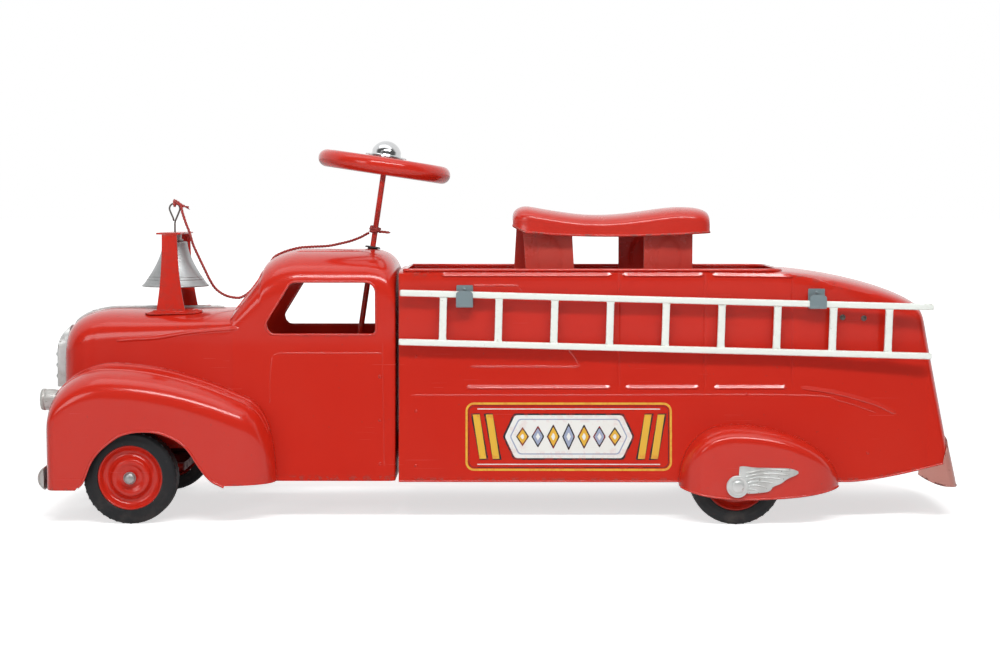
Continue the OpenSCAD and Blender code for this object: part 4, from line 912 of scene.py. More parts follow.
# The bell rope: three strands laid round each other, knotted at the loop and at the column
ROPE_D = 3.3
route_bell = [
    (2.3, -3.1, 33), (7.5, -4.6, 31), (10, -6, 22), (14, -7, 10), (18, -8, 0), (22, -8, -14), (28, -7, -28),
    (34, -4, -42), (40, 0, -56), (46, 5, -66), (56, 11, -73.5), (68, 17, -76.5),
]
route_screen = [
    (0, 21, 12), (6.5, 23, 7), (12, 24.5, 5.2), (22, 26, 4.6), (30, 26, 4.5), (36, 26, 4.4), (44, 26, 3.4),
    (55, 25.5, 2.7), (68, 24, 2.4), (82, 22, 2.4),
]
route_column = [(-54, 20, 2.6), (-42, 18, 4.8), (-27, 15, 8.4), (-15, 11, 12.8), (-8.5, 8, 16.2), (-4.6, 6, 18.2)]
rope_route = np.array(
    [(BELL_X + x, y, PLATE_Z + z) for x, y, z in route_bell]
    + [(AXLE_F + SCREEN_FOOT + x, y, float(hood_height(SCREEN_FOOT + x, y)) + z) for x, y, z in route_screen]
    + [(COLUMN_X + x, y, ROOF_Z + z) for x, y, z in route_column]
)


def lay_strands(shape, line, turns_each=11.0):
    """Three strands twisted round a line."""
    line = np.asarray(line, float)
    fine = even(line, max(24, int(lengths(line)[-1] / 0.55)))
    u = np.cross(unit(np.gradient(fine, axis=0))[0], [0.3, 0.9, 0.3])
    frames = []
    for t in unit(np.gradient(fine, axis=0)):
        u = unit(u - t * (u @ t))
        frames.append((u, np.cross(t, u)))
    along = np.linspace(0.0, lengths(line)[-1], len(fine))
    strand_r = 0.5 * ROPE_D / (1 + 2 / math.sqrt(3)) * 1.06
    offset = 0.5 * ROPE_D - strand_r
    for k in range(3):
        phase = 2 * math.pi * (k / 3 + along / turns_each)
        middle = fine + offset * np.array([math.cos(p) * a + math.sin(p) * b for p, (a, b) in zip(phase, frames)])
        shape.tube(middle, strand_r, sides=7)
    return shape


def strand_uv(item):
    """A UV map along the rope, by the height and place of its points."""
    mesh = item.data
    layer = mesh.uv_layers.new(name="strand")
    co = np.zeros(len(mesh.vertices) * 3, np.float32)
    mesh.vertices.foreach_get("co", co)
    loops = np.zeros(len(mesh.loops), np.int32)
    mesh.loops.foreach_get("vertex_index", loops)
    x, y, z = co.reshape(-1, 3)[loops].T
    layer.data.foreach_set("uv", np.stack([z * 3.0 + y * 2.0, x * 3.0 + y], -1).astype(np.float32).ravel())
    return item


fine_route = smooth(rope_route, 420)
rope = strand_uv(lay_strands(Shape(), fine_route).made("bell_rope_laid"))
rope.data.materials.append(rope_cotton)
rope.data.shade_smooth()


def column_place(z):
    """Z runs up along the leaning column."""
    return at(COLUMN_X + (z - ROOF_Z) * math.tan(LEAN), 0, z) @ Matrix.Rotation(LEAN, 4, "Y")


def knot_on_the_loop():
    knot = lay_strands(Shape(), np.insert(arc(3.0, 0, 6.4, 50, 0.0, 349.0), 0, BELL_X, axis=1))
    lay_strands(knot, smooth([(BELL_X + x, y, z) for x, y, z in (
        (-0.5, -1.6, 352.6), (4, -3.4, 350.5), (8, -4.4, 347.4), (12, -4.2, 345.4))], 30))
    for k in range(9):
        c, s = math.cos(0.7 * k), math.sin(0.7 * k)
        fibre = [(11.4, -4.2, 345.6), (14, -4.2 + 1.2 * c, 344.8 + s),
                 (16.4 + 0.25 * k % 2, -4.2 + 2.2 * c, 343.6 + 1.8 * s)]
        knot.tube(smooth([(BELL_X + x, y, z) for x, y, z in fibre], 8), 0.28, sides=5)
    return strand_uv(knot.made("rope_hitch_on_the_loop"))


def knot_on_the_column():
    place = column_place(ROOF_Z + 19)
    start, turns = 2.2, 2.3
    a = start + np.linspace(0.0, 2 * math.pi * turns, 110)
    coil = as_points(5.2 * np.cos(a), 5.2 * np.sin(a), 2.64 * (a - start) / (2 * math.pi))
    knot = lay_strands(Shape(), moved(coil, place))
    over = [(-2.0, 5.6, 0.4), (-5.6, 2.0, 2.6), (-4.4, -3.4, 4.0), (1.0, -6.0, 3.0), (5.6, -3.4, 1.6)]
    lay_strands(knot, moved(smooth(over, 50), place))
    out = np.array((turn("Z", -10) @ turn("Y", 80)) @ Vector((0, 0, 1)))
    tail = np.array([
        np.array((5.0, -1.6, 1.2)) + out * s + np.array((0, 0, -0.010 * s * s)) for s in (0, 4, 8, 11.4)])
    lay_strands(knot, moved(smooth(tail, 24), place))
    for k in range(9):
        spread = np.array((0.0, 0.8 * math.cos(0.7 * k), 0.8 * math.sin(0.7 * k)))
        fibre = np.array([-0.5 * out, 0.8 * out + 0.7 * spread, 1.8 * out + spread])
        knot.tube(moved(tail[-1] + fibre, place), 0.26, sides=5)
    return strand_uv(knot.made("rope_hitch_on_the_column"))


knot_bell = knot_on_the_loop()
knot_column = knot_on_the_column()
dress(knot_bell, rope_cotton, "rope_knot_bell", body="striker", angle=80)
dress(knot_column, rope_cotton, "rope_knot_column", angle=80)
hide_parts("bell_rope")
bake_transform(rope)


# Cab pressing


def both_sides(x, half):
    y, z = half.T
    return as_points(x, np.concatenate([-y, y[::-1][1:]]), np.concatenate([z, z[::-1][1:]]))


def half_section(w, low, shoulder, top, p, rows):
    z = np.linspace(low, shoulder, 50)
    side = as_points(w + side_out(z), z)
    a = np.linspace(0.0, QUARTER, 240)[1:]
    wide = w + side_out(shoulder)
    crown = as_points(wide * np.cos(a).clip(0) ** (2 / p), shoulder + (top - shoulder) * np.sin(a) ** (2 / p))
    crown[-1, 0] = 0.0
    out = even(np.concatenate([side[:-1], [[wide, shoulder]], crown]), rows)
    out[-1, 0] = 0.0
    return out


def stations(*parts):
    """The places of the sections along a pressing, each once."""
    return np.unique(np.round(np.concatenate(parts), 3))


def side_place(x, y, z=0.0):
    """X runs back and Y up, and Z faces the driver's left."""
    return at(x, y, z) @ turn("X", 90)


def channel_notch():
    return Shape().slab([(-123, -13.5), (-99, -13.5), (-99, 13.5), (-123, 13.5)], -1, 87).made("notch_tool")


def make_cab():
    d = stations(
        -NOSE + 55 * np.linspace(0, 1, 26) ** 2, np.linspace(-35, 98, 24), np.linspace(98, 108, 9),
        np.linspace(108, 131, 7), np.linspace(131, 141, 9), np.linspace(141, 250, 22),
        CAB_BACK - 37 * np.linspace(1, 0, 20) ** 2)
    fade = (1 - ramp(d, -NOSE, 7 - NOSE)) - (1 - ramp(CAB_BACK - d, 0, 7))

    def section(s, t, f):
        half = half_section(cab_w(s) - t, cab_low(s), cab_top(s) - cab_round(s), cab_top(s) - t, CAB_CURVE, 46)
        return both_sides(AXLE_F + s + t * f, half)

    skins = [[section(s, t, f) for s, f in zip(d, fade)] for t in (0.0, SHEET)]
    shell = Shape().shell(*skins, tub=True).made("cab_pressing")
    window = Shape().slab(window_outline(0.0), -110, 110, turn("X", 90)).made("window_tool")
    panes = [Shape().slab(screen_outline(side), -8, 8, screen_place()).made("pane_tool") for side in SIDES]
    bush = Shape().slab(arc(7.1, 0, 6.283, 40)[:-1], -20, 20, at(COLUMN_X, 0, ROOF_Z)).made("bush_tool")
    cut(shell, window, *panes, bush, channel_notch())
    return dress(shell, red_enamel, "cab_shell", angle=32)


def window_outline(g):
    """The door window, larger by g all round."""
    return rounded([(AXLE_F + x, z, r) for x, z, r in (
        (136.7 - 1.8 * g, 205 - g, 10), (171.8 - 0.6 * g, 262 + g, 9),
        (265 + g, 262 + g, 12), (265 + g, 205 - g, 5))])


SCREEN_SLOPE = math.atan2(SCREEN_RISE, SCREEN_HEAD - SCREEN_FOOT)


def screen_place():
    return at(AXLE_F + SCREEN_FOOT, 0, HOOD_Z) @ Matrix.Rotation(-SCREEN_SLOPE, 4, "Y")


def screen_outline(side):
    low, high = 7.0, 58.25 - 4.0
    y0, y1 = (3.0, 62.0) if side > 0 else (-62.0, -3.0)
    return rounded([(low, y0, 5), (high, y0, 5), (high, y1, 5), (low, y1, 5)])


def closed_line(outline, step=3.0):
    line = np.concatenate([outline, outline[:1]])
    return even(line, int(lengths(line)[-1] / step))[:-1]


make_cab()


def side_line(path, count=60, step=3.0):
    return track(smooth(path, count) if len(path) > 2 else path, step)


def side_bead(shape, wall, path, side, width, rise, ledge=False):
    line = side_line(path)
    points, normals = on_side(wall, line[:, 0], line[:, 1], side)
    shape.bead(points, normals, width, rise, ledge)


def cab_trimmings():
    """Rolled lips of the openings, and the lines pressed into hood, doors and roof."""
    lips = Shape()
    lines = Shape()
    for side in SIDES:
        line = closed_line(window_outline(0.9), 2.2)
        lips.tube(on_side(cab_wall, line[:, 0], line[:, 1], side, -0.35)[0], 1.35, sides=10, closed=True)
        line = closed_line(screen_outline(side), 2.2)
        along = SCREEN_FOOT + line[:, 0] * math.cos(SCREEN_SLOPE)
        lips.tube(on_top(along, line[:, 1], -0.35)[0], 1.2, sides=10, closed=True)
        for path, width, rise in (
            ([(-426, 196), (-405, 198), (-381, 199.5), (-342, 206), (-300, 210.2), (-286, 211)], 6.0, 1.5),
            ([(-249, 181), (-244, 183.5), (-238, 184), (-200, 184), (-150, 184), (-127, 184)], 2.2, 0.5),
            ([(-249, 181), (-251, 170), (-252, 150), (-252, 128)], 2.2, 0.5),
            ([(-127, 196), (-127, 170), (-126, 120), (-125, 60)], 2.0, 0.45),
        ):
            side_bead(lines, cab_wall, path, side, width, rise)
    for y in (-34.0, 34.0):
        lines.bead(*on_top(np.linspace(172, 246, 30), y), 5.0, 0.8)
    lips.piece("cab_window_lips", bead_enamel)
    lines.piece("cab_pressed_lines", bead_enamel)


cab_trimmings()


# Hose body pressing
GROOVES = (134.3, 229.3, 325.9)


def make_hose_body():
    marks = [g - AXLE_R + k for g in GROOVES for k in (-2.4, -1.6, -1.0, -0.5, 0.0, 0.5, 1.0, 1.6, 2.4)]
    e = stations(
        np.linspace(-369, -361, 5), np.linspace(-361, 48, 50), marks, np.linspace(48, 62, 8),
        np.linspace(62, 180, 26), np.linspace(180, 216, 16), np.linspace(216, 245, 44))

    def section(i, t):
        """One section of the skin that lies t inside the outside; the end walls are as thick."""
        at_end = 1 if i == 0 else -1 if i == len(e) - 1 else 0
        s = e[i] + at_end * t
        top = min(float(deck_top(s)) - t, float(deck_top(s + 1.3 * t)))
        half = half_section(float(hose_w(s)) - t, float(hose_low(s)), top - float(hose_round(s)), top,
                            HOSE_CURVE, 60)
        half[:, 0] *= blunt((rear_e(half[:, 1]) - 1.3 * t - s) / END_ROUND, 3.0)
        for g in GROOVES:
            window = ramp(half[:, 1], 146, 149) * (1 - ramp(half[:, 1], 267, 270))
            half[:, 0] -= 0.9 * np.exp(-((AXLE_R + s - g) / 1.3) ** 2) * window
        return both_sides(AXLE_R + s, half)

    skins = [[section(i, t) for i in range(len(e))] for t in (0.0, SHEET)]
    shell = Shape().shell(*skins, tub=True).made("hose_body_pressing")
    opening = Shape().slab(bed_outline(), BED_Z + 4, 300).made("bed_tool")
    slot = np.concatenate([[(-9.0, 0.0)], arc(9.0, math.pi, 0, 24, 0, HUB_Z), [(9.0, 0.0)]])
    notch = channel_notch()
    holes = [Shape().slab(slot, -30, 30, side_place(AXLE_R, side * HALF_W)).made("slot_tool") for side in SIDES]
    cut(shell, opening, notch, *holes)
    return dress(shell, red_enamel, "hose_body", angle=32)


def bed_outline():
    return rounded([(-103, -80, 3), (316, -80, 22), (316, 80, 22), (-103, 80, 3)], steps=12)


make_hose_body()


def hose_trimmings():
    line = closed_line(bed_outline(), 3.0)
    rim = Shape().tube(as_points(line[:, 0], line[:, 1], RIM_Z - 0.7), 1.9, sides=12, closed=True)
    rim.piece("bed_rolled_rim", bead_enamel)
    lines = Shape()
    hem = Shape()
    x = np.concatenate([np.linspace(-108, 468, 124), 470 + 33 * np.sin(np.linspace(0, QUARTER, 24))])
    for side in SIDES:
        for path, width, rise in (
            ([(-62, 270.6), (126.6, 270.6)], 4.6, 1.7), ([(137.8, 270.6), (228, 270.6)], 4.6, 1.7),
            ([(237.2, 270.6), (326, 269.3)], 4.6, 1.7), ([(-34.6, 146.4), (125.5, 146.4)], 5.0, 1.7),
            ([(141, 146.4), (223.8, 146.4)], 5.0, 1.7), ([(239, 146.4), (320.4, 146.4)], 5.0, 1.7),
            ([(335.4, 146.3), (370.4, 141.2), (399.6, 134), (422, 126.8), (442.3, 116.7)], 5.4, 1.3),
            ([(-96, 137.7), (60, 137.7), (330, 137.7), (380, 131), (420, 118)], 2.0, 0.5),
            ([(-26.8, 258.6), (18, 258.6), (24, 256.5), (28.4, 252)], 3.0, 0.8),
            ([(-30, 169), (40, 169), (86, 169), (89.5, 172), (84, 182), (78, 188)], 3.0, 0.8),
        ):
            side_bead(lines, hose_wall, path, side, width, rise, ledge=rise > 1)
        for part in (x[x < 248], x[x > 272]):
            hem.tube(on_side(hose_wall, part, hose_low(part - AXLE_R) + 0.9, side, -0.1)[0], 1.1, sides=8)
    lines.piece("hose_body_beads", bead_enamel)
    hem.piece("hose_body_hem", bead_enamel)


hose_trimmings()


# Fenders


def pontoon(x, y_in, w, low, top, r, t, p, rows):
    a = np.linspace(0.0, QUARTER, 200)
    crown = as_points(y_in + (w - t - y_in) * np.sin(a) ** (2 / p),
                      top - r + (r - t) * np.cos(a).clip(0) ** (2 / p))
    side = as_points(w - t, np.linspace(top - r, low, 40)[1:])
    line = even(np.concatenate([crown, side]), rows)
    return as_points(x, line[:, 0], line[:, 1])


def wing(side, axle, d, shift, curves, p, rows):
    """A fender as a sheet between two skins; curves are its inside, width, foot, top and corner."""
    inside, width, foot, top, corner = curves

    def skin(s, h, t):
        return pontoon(axle + s + h, inside(s + h, top(s) - t), width(s), foot(s), top(s), corner(s), t, p, rows)

    outer = np.array([skin(s, 0.0, 0.0) for s in d])
    inner = np.array([skin(s, h, SHEET) for s, h in zip(d, shift)])
    return Shape().shell(outer * mirror(side), inner * mirror(side))


def fender_wall(x, z):
    d = x - AXLE_F
    inner = ff_in(d, ff_top(d))
    return inner + wall_y(z, ff_top(d) - ff_round(d), ff_round(d), ff_w(d) - inner, ff_w(d) - inner, FRONT_CURVE)


ARCH = [
    (-59.5, 36), (-55, 41.5), (-50.2, 46), (-47, 53), (-41.7, 66.4), (-35.5, 76.5), (-27.5, 85), (-12.5, 96.4),
    (-1.5, 100.8), (10.1, 102.9), (25.2, 102.9), (34.5, 101.3), (43.6, 98.1), (54, 92.8), (62.9, 85.9),
    (69, 78.3), (74.1, 69.9), (83.4, 56.7), (88, 51.5), (93, 47.4), (100.5, 43.9), (108, 40),
]


def arch_line():
    return smooth([(AXLE_F + x, z) for x, z in ARCH], 150)


def lamp_profile(gap):
    r = 12.0 + gap
    return [(0, -0.01), (r - 1, 0), (r, 1.5), (r, 7.5), (5 + gap, 36 + gap), (0, 36 + gap)]


def lamp_place(side):
    return at(AXLE_F - 103, side * 95.0, 133.0) @ turn("Y", 90)


def make_front_fender(side, hand):
    d = stations(
        72 * np.linspace(0, 1, 34) ** 2 - FENDER_NOSE, np.linspace(-26, 76, 24),
        FENDER_END - 80 * np.linspace(1, 0, 34) ** 2)
    shift = SHEET * ((1 - ramp(d, -FENDER_NOSE, 10 - FENDER_NOSE)) - (1 - ramp(FENDER_END - d, 0, 14)))
    node = "front_fender_" + hand
    item = wing(side, AXLE_F, d, shift, (ff_in, ff_w, ff_low, ff_top, ff_round), FRONT_CURVE, 64)
    item = item.made(node + "_wing")
    low = np.concatenate([arch_line(), [(AXLE_F + 112, 0), (AXLE_F - 62, 0)]])
    tool = Shape().slab(low, -40, 40, side_place(0, side * FENDER_HALF)).made("arch_tool")
    lamp = Shape().turned(lamp_profile(GAP), lamp_place(side), 48).made("lamp_tool")
    return dress(cut(item, tool, lamp), red_enamel, node, angle=32)


def make_rear_fender(side, hand):
    e = stations(
        -REAR_NOSE + 50 * np.linspace(0, 1, 26) ** 2, np.linspace(-10, 38, 12),
        REAR_END - 78 * np.linspace(1, 0, 34) ** 1.8)
    shift = SHEET * ((1 - ramp(e, -REAR_NOSE, 10 - REAR_NOSE)) - (1 - ramp(REAR_END - e, 0, 12)))
    node = "rear_fender_" + hand
    item = wing(side, AXLE_R, e, shift, (rf_in, rf_w, rf_low, rf_top, rf_round), REAR_CURVE, 60)
    return item.piece(node + "_wing", red_enamel, node, angle=32)


for side, hand in HANDS:
    make_front_fender(side, hand)
for side, hand in HANDS:
    make_rear_fender(side, hand)


def fender_trimmings():
    """Rolled hems, turned-back front edges, and the double flange lines where the fenders meet the hood."""
    hems = Shape()
    lines = Shape()
    for side in SIDES:
        line = arch_line()
        line = even(line[line[:, 1] > 41.5], 110)
        hems.tube(on_side(fender_wall, line[:, 0], line[:, 1], side, -0.3)[0], 1.4, sides=9)
        # the front edge of the fender turns back as far as the apron
        nose = np.linspace(0.6 - FENDER_NOSE, -82.6, 24)
        edge = ff_in(nose, ff_top(nose)) + 0.35
        outline = np.concatenate([as_points(AXLE_F + nose, edge), as_points(AXLE_F + nose, edge + 1.0)[::-1]])
        hems.slab(outline * [1.0, side], 39.2, 77.0)
        e = np.linspace(-58.5, 114.5, 110)
        hems.tube(as_points(AXLE_R + e, rf_w(e) - 0.5, rf_low(e) + 0.6) * mirror(side), 1.2, sides=8)
        d = np.linspace(-92, 149, 120)
        inner = ff_in(d, ff_top(d))
        for k, width, rise in ((0.16, 3.4, 0.9), (0.34, 3.0, 0.7)):
            y = inner + (ff_w(d) - inner) * math.sin(k * QUARTER) ** (2 / FRONT_CURVE)
            z = ff_top(d) - ff_round(d) + ff_round(d) * math.cos(k * QUARTER) ** (2 / FRONT_CURVE)
            points = even(as_points(AXLE_F + d, y, z), 120)
            tangent = np.gradient(points, axis=0)
            up = np.array([0.0, 0.25, 1.0])
            up = unit(up - tangent * ((tangent @ up) / (tangent**2).sum(1))[:, None])
            lines.bead(points * mirror(side), up * mirror(side), width, rise)
    hems.piece("fender_hems", bead_enamel)
    lines.piece("fender_flange_lines", bead_enamel)


fender_trimmings()


# Tail step


def make_tail_step():
    rest = 2 * GAP + SHEET
    out_max = TAIL_X - AXLE_R - float(rear_e(35.0))
    begin = DECK_BACK - 11.0
    corner = float(rear_e(60.0)) - END_ROUND

    def edge(k, t):
        q = np.linspace(-1, 1, 151)
        v = np.maximum(0, 3 * np.abs(q) - 2)
        a = np.radians(135 * np.clip(q, -2 / 3, 2 / 3))
        cosine = np.cos(a).clip(0)
        deep = np.where(v > 0, 0.86 * (1 - v**1.6), 0.86 + 0.14 * cosine)
        under = hose_low(corner - v * (corner - begin)) + 0.4
        top = under + (89.0 - under) * np.where(v > 0, 0, cosine**0.5)
        low = 51.0 - 16.0 * deep
        z = top - k * (top - low)
        fold = 0.4 * np.cos(a * 16) * k * (1 - k) * 3.0 * deep
        out = rest - t + (out_max - rest) * k * deep + fold - 0.4 * deep * k * (1 - k)
        er = rear_e(z) - END_ROUND
        e = er - v * (er - begin)
        x = AXLE_R + e + (END_ROUND + out) * cosine ** (2 / 3)
        y = np.sign(q) * (hose_w(e) + side_out(z) + out) * np.abs(np.sin(a)) ** (2 / 3)
        return as_points(x, y, z)

    rows = np.linspace(0, 1, 26)
    apron = Shape().shell([edge(k, 0) for k in rows], [edge(k, SHEET) for k in rows])
    # The step's enamel is paled by a painted reflection.
    apron.piece("tail_step_apron", step_enamel_painted_reflection, "tail_step", angle=32)
    hem = Shape().tube(even(edge(1.0, 0.6), 160), 1.2, sides=9)
    hem.tube(even(edge(0.0, 0.6)[25:-25], 120), 0.8, sides=9)
    hem.piece("tail_step_hems", step_enamel_painted_reflection)


make_tail_step()


# Saddle and its two supports


def saddle_top(k):
    dip = 12 * np.abs(np.sin(np.minimum(1, k / 0.84) * math.pi)) ** 1.3 * (1 - 0.15 * k)
    front = 14 * (1 - blunt(k / 0.09, 2))
    back = 8 * (1 - blunt((1 - k) / 0.1, 2))
    return 348 - dip - 4 * ramp(k, 0.25, 1) - front - back


def saddle_w(k):
    front = 18 * (1 - blunt(k / 0.16, 2.2))
    back = 16 * (1 - blunt((1 - k) / 0.16, 2.2))
    return 56 - front - 6 * np.sin(math.pi * k) ** 2 - back


def saddle_low(k):
    return 316 + 7 * (1 - ramp(k, 0, 0.06)) - 4 * np.sin(math.pi * k) * ramp(k, 0.05, 0.2)


SEAT_CURVE = 2.6


def saddle_corner(k, t):
    """Half width, foot, top and corner of the saddle's section, t inside its outside."""
    low = float(saddle_low(k))
    top = float(saddle_top(k)) - t
    return float(saddle_w(k)) - t, low, top, min(15.0, 0.8 * (top - low))


def saddle_half(k, t):
    w, low, top, r = saddle_corner(k, t)
    a = np.linspace(0, QUARTER, 160)
    crown = as_points(w * np.cos(a).clip(0) ** (2 / SEAT_CURVE), top - r + r * np.sin(a) ** (2 / SEAT_CURVE))
    side = smooth([(w + 1.2, low), (w + 0.3, (low + top - r) / 2), (w, top - r)], 20)
    out = even(np.concatenate([side[:-1], crown]), 46)
    out[-1, 0] = 0.0
    return out


def saddle_x(k):
    return SEAT_X + SEAT_L * k


def make_saddle():
    end = 0.16 * np.linspace(0, 1, 24) ** 2
    k = np.unique(np.round(np.concatenate([end, np.linspace(0.16, 0.84, 34), 1 - end]), 5))
    shift = SHEET * ((1 - ramp(k, 0, 0.02)) - (1 - ramp(1 - k, 0, 0.02)))
    outer = [both_sides(saddle_x(s), saddle_half(s, 0)) for s in k]
    inner = [both_sides(saddle_x(s) + h, saddle_half(s, SHEET)) for s, h in zip(k, shift)]
    Shape().shell(outer, inner, tub=True).piece("saddle_pressing", seat_enamel, "seat_saddle", angle=32)
    hem = Shape()
    s = np.linspace(0.004, 0.996, 130)
    for side in SIDES:
        hem.tube(as_points(saddle_x(s), side * (saddle_w(s) + 0.9), saddle_low(s) + 0.9), 1.35, sides=9)
    for end, inwards in ((0.0, 0.7), (1.0, -0.7)):
        w = float(saddle_w(end)) + 0.6
        line = as_points(saddle_x(end) + inwards, np.linspace(-w, w, 24), float(saddle_low(end)) + 0.9)
        hem.tube(line, 1.35, sides=9)
    hem.piece("saddle_hem", seat_enamel)


make_saddle()


def saddle_under(k, y):
    w, _, top, r = saddle_corner(k, SHEET)
    return top - r + r * bow(min(1.0, y / w), SEAT_CURVE)


def make_support(k, tilt, splay, name, node):
    """A strap bent down into two legs and two feet, with an oval pressed into each leg."""
    half, leg, bend = 27.5, 39.0, 5.0
    span = (half + abs(tilt)) / SEAT_L
    top = min(saddle_under(k + span * i / 6, leg + 1.0) for i in range(-6, 7)) - 0.6
    foot = BED_Z + GAP + 1.0
    crest = top - 1.0
    path = [(-24.0, foot), (-leg, foot), (-leg, foot + 1.0), (-leg, crest - bend)]
    path += arc(bend, math.pi, QUARTER, 8, bend - leg, crest - bend).tolist() + [(0.0, crest)]
    path += arc(bend, QUARTER, 0.0, 8, leg - bend, crest - bend).tolist() + [(leg, foot), (24.0, foot)]
    path = np.array(path)
    dense = []
    for a, b in zip(path[:-1], path[1:]):
        n = max(2, int(np.linalg.norm(b - a) / 2.5))
        dense += [a + (b - a) * t for t in np.linspace(0, 1, n, endpoint=False)]
    line = np.array(dense + [path[-1]])
    line = line[np.concatenate([[True], np.linalg.norm(np.diff(line, axis=0), axis=1) > 1e-6])]
    tangent = unit(np.gradient(line, axis=0))
    x = saddle_x(k) + np.linspace(-half, half, 34)
    oval_z = 0.5 * (BED_Z + top) + 4.0
    outer = []
    inner = []
    for p, t in zip(line, tangent):
        across, up = -t[1], t[0]
        low = np.clip((top - p[1]) / (top - BED_Z), 0, 1)
        lean = (tilt + splay * low) * np.clip(-p[0] / leg, -1, 1)
        press = 1.3 * (1.0 - ramp(np.hypot((x - saddle_x(k)) / 15.0, (p[1] - oval_z) / 24.0), 0.82, 1.0))
        press = press * (abs(abs(p[0]) - leg) < 0.5)
        outer.append(as_points(x + lean, p[0] + across * (1.0 + 0.8 * press), p[1] + up))
        inner.append(as_points(x + lean, p[0] + across * (0.8 * press - 1.0), p[1] - up))
    item = Shape().shell(outer, inner).made(name)
    return dress(ease(item, 0.5, 50), strap_enamel, node, angle=34)


make_support(0.16, 3.0, 5.5, "front_seat_strap", "seat_front_support")
make_support(0.735, 12.0, 0.0, "rear_seat_strap", "seat_rear_support")


# Ladders: two rails each, with the rungs repeated between them
LADDER_SLOPE = math.radians(1.52)
LADDER_L = 586.0
LADDER_Z = 251.0
RAIL_HALF = 3.5
RUNGS = 9
RUNG_PITCH = (LADDER_L - 96.0) / (RUNGS - 1)


def bar_section(x, y, r, steps):
    return rounded([(-x, -y, r), (x, -y, r), (x, y, r), (-x, y, r)], steps=steps).T


def make_ladder(side, hand):
    place = at(BED_X + 2, 0, LADDER_Z) @ Matrix.Rotation(LADDER_SLOPE, 4, "Y")
    middle = side * 0.5 * (RAIL_IN + RAIL_OUT)
    body = "ladder_" + hand[0]
    rails = Shape()
    u, v = bar_section(RAIL_HALF, RAIL_HALF, 1.3, 4)
    for z in (0.0, -54.0):
        rings = []
        for s in np.concatenate([[0.0, 0.5, 1.4], np.linspace(4, 582, 60), [584.6, 585.5, LADDER_L]]):
            close = 1.0 - 0.16 * (1 - min(1.0, min(s, LADDER_L - s) / 1.4)) ** 2
            wave = 0.12 * math.sin(s / 37.0 + z)
            rings.append(moved(as_points(s, middle + u * close + wave, z + v * close), place))
        rails.loft(rings, wrap=True, caps=True)
    u, v = bar_section(4.0, 2.5, 1.0, 3)
    rings = []
    for z in (-51.2, -50.4, -48.0, -27.0, -6.0, -3.6, -2.8):
        swell = 1.0 + 0.10 * (abs(z + 27.0) > 22.5)
        rings.append(moved(as_points(48.0 + u * swell, middle + v, z), place))
    name = "ladder_%s_rails" % hand
    rails.piece(name, white_enamel, "ladder_" + hand, body=body, angle=40)
    rungs = Shape().loft(rings, wrap=True, caps=True).made(name + "_rungs")
    pitch = np.array(place, float)[:3, :3] @ np.array([RUNG_PITCH, 0, 0]) * MM
    grow(rungs, row, {"Count": RUNGS, "Pitch": tuple(pitch), "Finish": white_enamel})
    dress(rungs, white_enamel, body=body, angle=40)


for side, hand in HANDS:
    make_ladder(side, hand)


def rail_low(x):
    return LADDER_Z - (x - BED_X - 2) * math.tan(LADDER_SLOPE) - RAIL_HALF / math.cos(LADDER_SLOPE)


def make_clips():
    """Four bent clips: a plate on the wall, a shelf under the rail and a tab in front of it."""
    clips = Shape()
    w, t = 18.5, SHEET
    h = 0.5 * t
    x1, x2 = BED_X + 73.0, AXLE_R + 92.0
    places = [
        (x1, rail_low(x1) - 9.5, rail_low(x1) + 7.0, rail_low(x1) + 13.5),
        (x2, rail_low(x2 + w / 2) - GAP, rail_low(x2) + 13.0, rail_low(x2) + 20.0),
    ]
    wall = HALF_W + GAP + h
    tab = RAIL_OUT + GAP + h
    spots = []
    for side in SIDES:
        for x, low, high, back in places:
            line = [(wall, back), (wall, low + 1.4)]
            for a in np.linspace(0.3, 1.57, 5):
                line.append((wall + 1.4 * (1 - math.cos(a)), low + 1.4 - 2.0 * math.sin(a)))
            for a in np.linspace(0.0, 1.4, 5):
                line.append((tab - 1.4 * (1 - math.sin(a)), low + 1.4 - 2.0 * math.cos(a)))
            line = track(line + [(tab, low + 3.0), (tab, high + h)], 1.2)
            along = lengths(line)
            rings = []
            for p, q, s in zip(line, unit(np.gradient(line, axis=0)), along):
                near = min(s / 1.5, (along[-1] - s) / 4.0, 1.0)
                curl = 0.6 * (1 - near)
                if s > along[-1] / 2:
                    curl = 4.0 * (1 - math.sqrt(max(0.0, 1 - (1 - near) ** 2)))
                half = 0.5 * w - curl
                edge = half - 0.3
                around = ((-half, -h), (-edge, -h), (edge, -h), (half, -0.3), (half, 0.3), (edge, h),
                          (-edge, h), (-half, 0.3))
                rings.append([(x + u, side * (p[0] + q[1] * v), p[1] - q[0] * v) for u, v in around])
            clips.loft(rings, wrap=True, caps=True)
            spots.append(((x, side * (HALF_W + GAP + t), back - 4.2), (0, side, 0)))
    clips.piece("ladder_spring_clips", clip_steel, "ladder_clips", angle=40)
    rivet_row("clip_rivets", spots, 1.9, 1.0, clip_steel)


make_clips()


# Bell, its bracket and the striker
BELL_Z = 254.0
BELL_H = 50.0
LEG_Y = 43.8
FOOT_D = 43.0


def bell_r(k):
    return 14 + 24 * (1 - k) ** 1.6


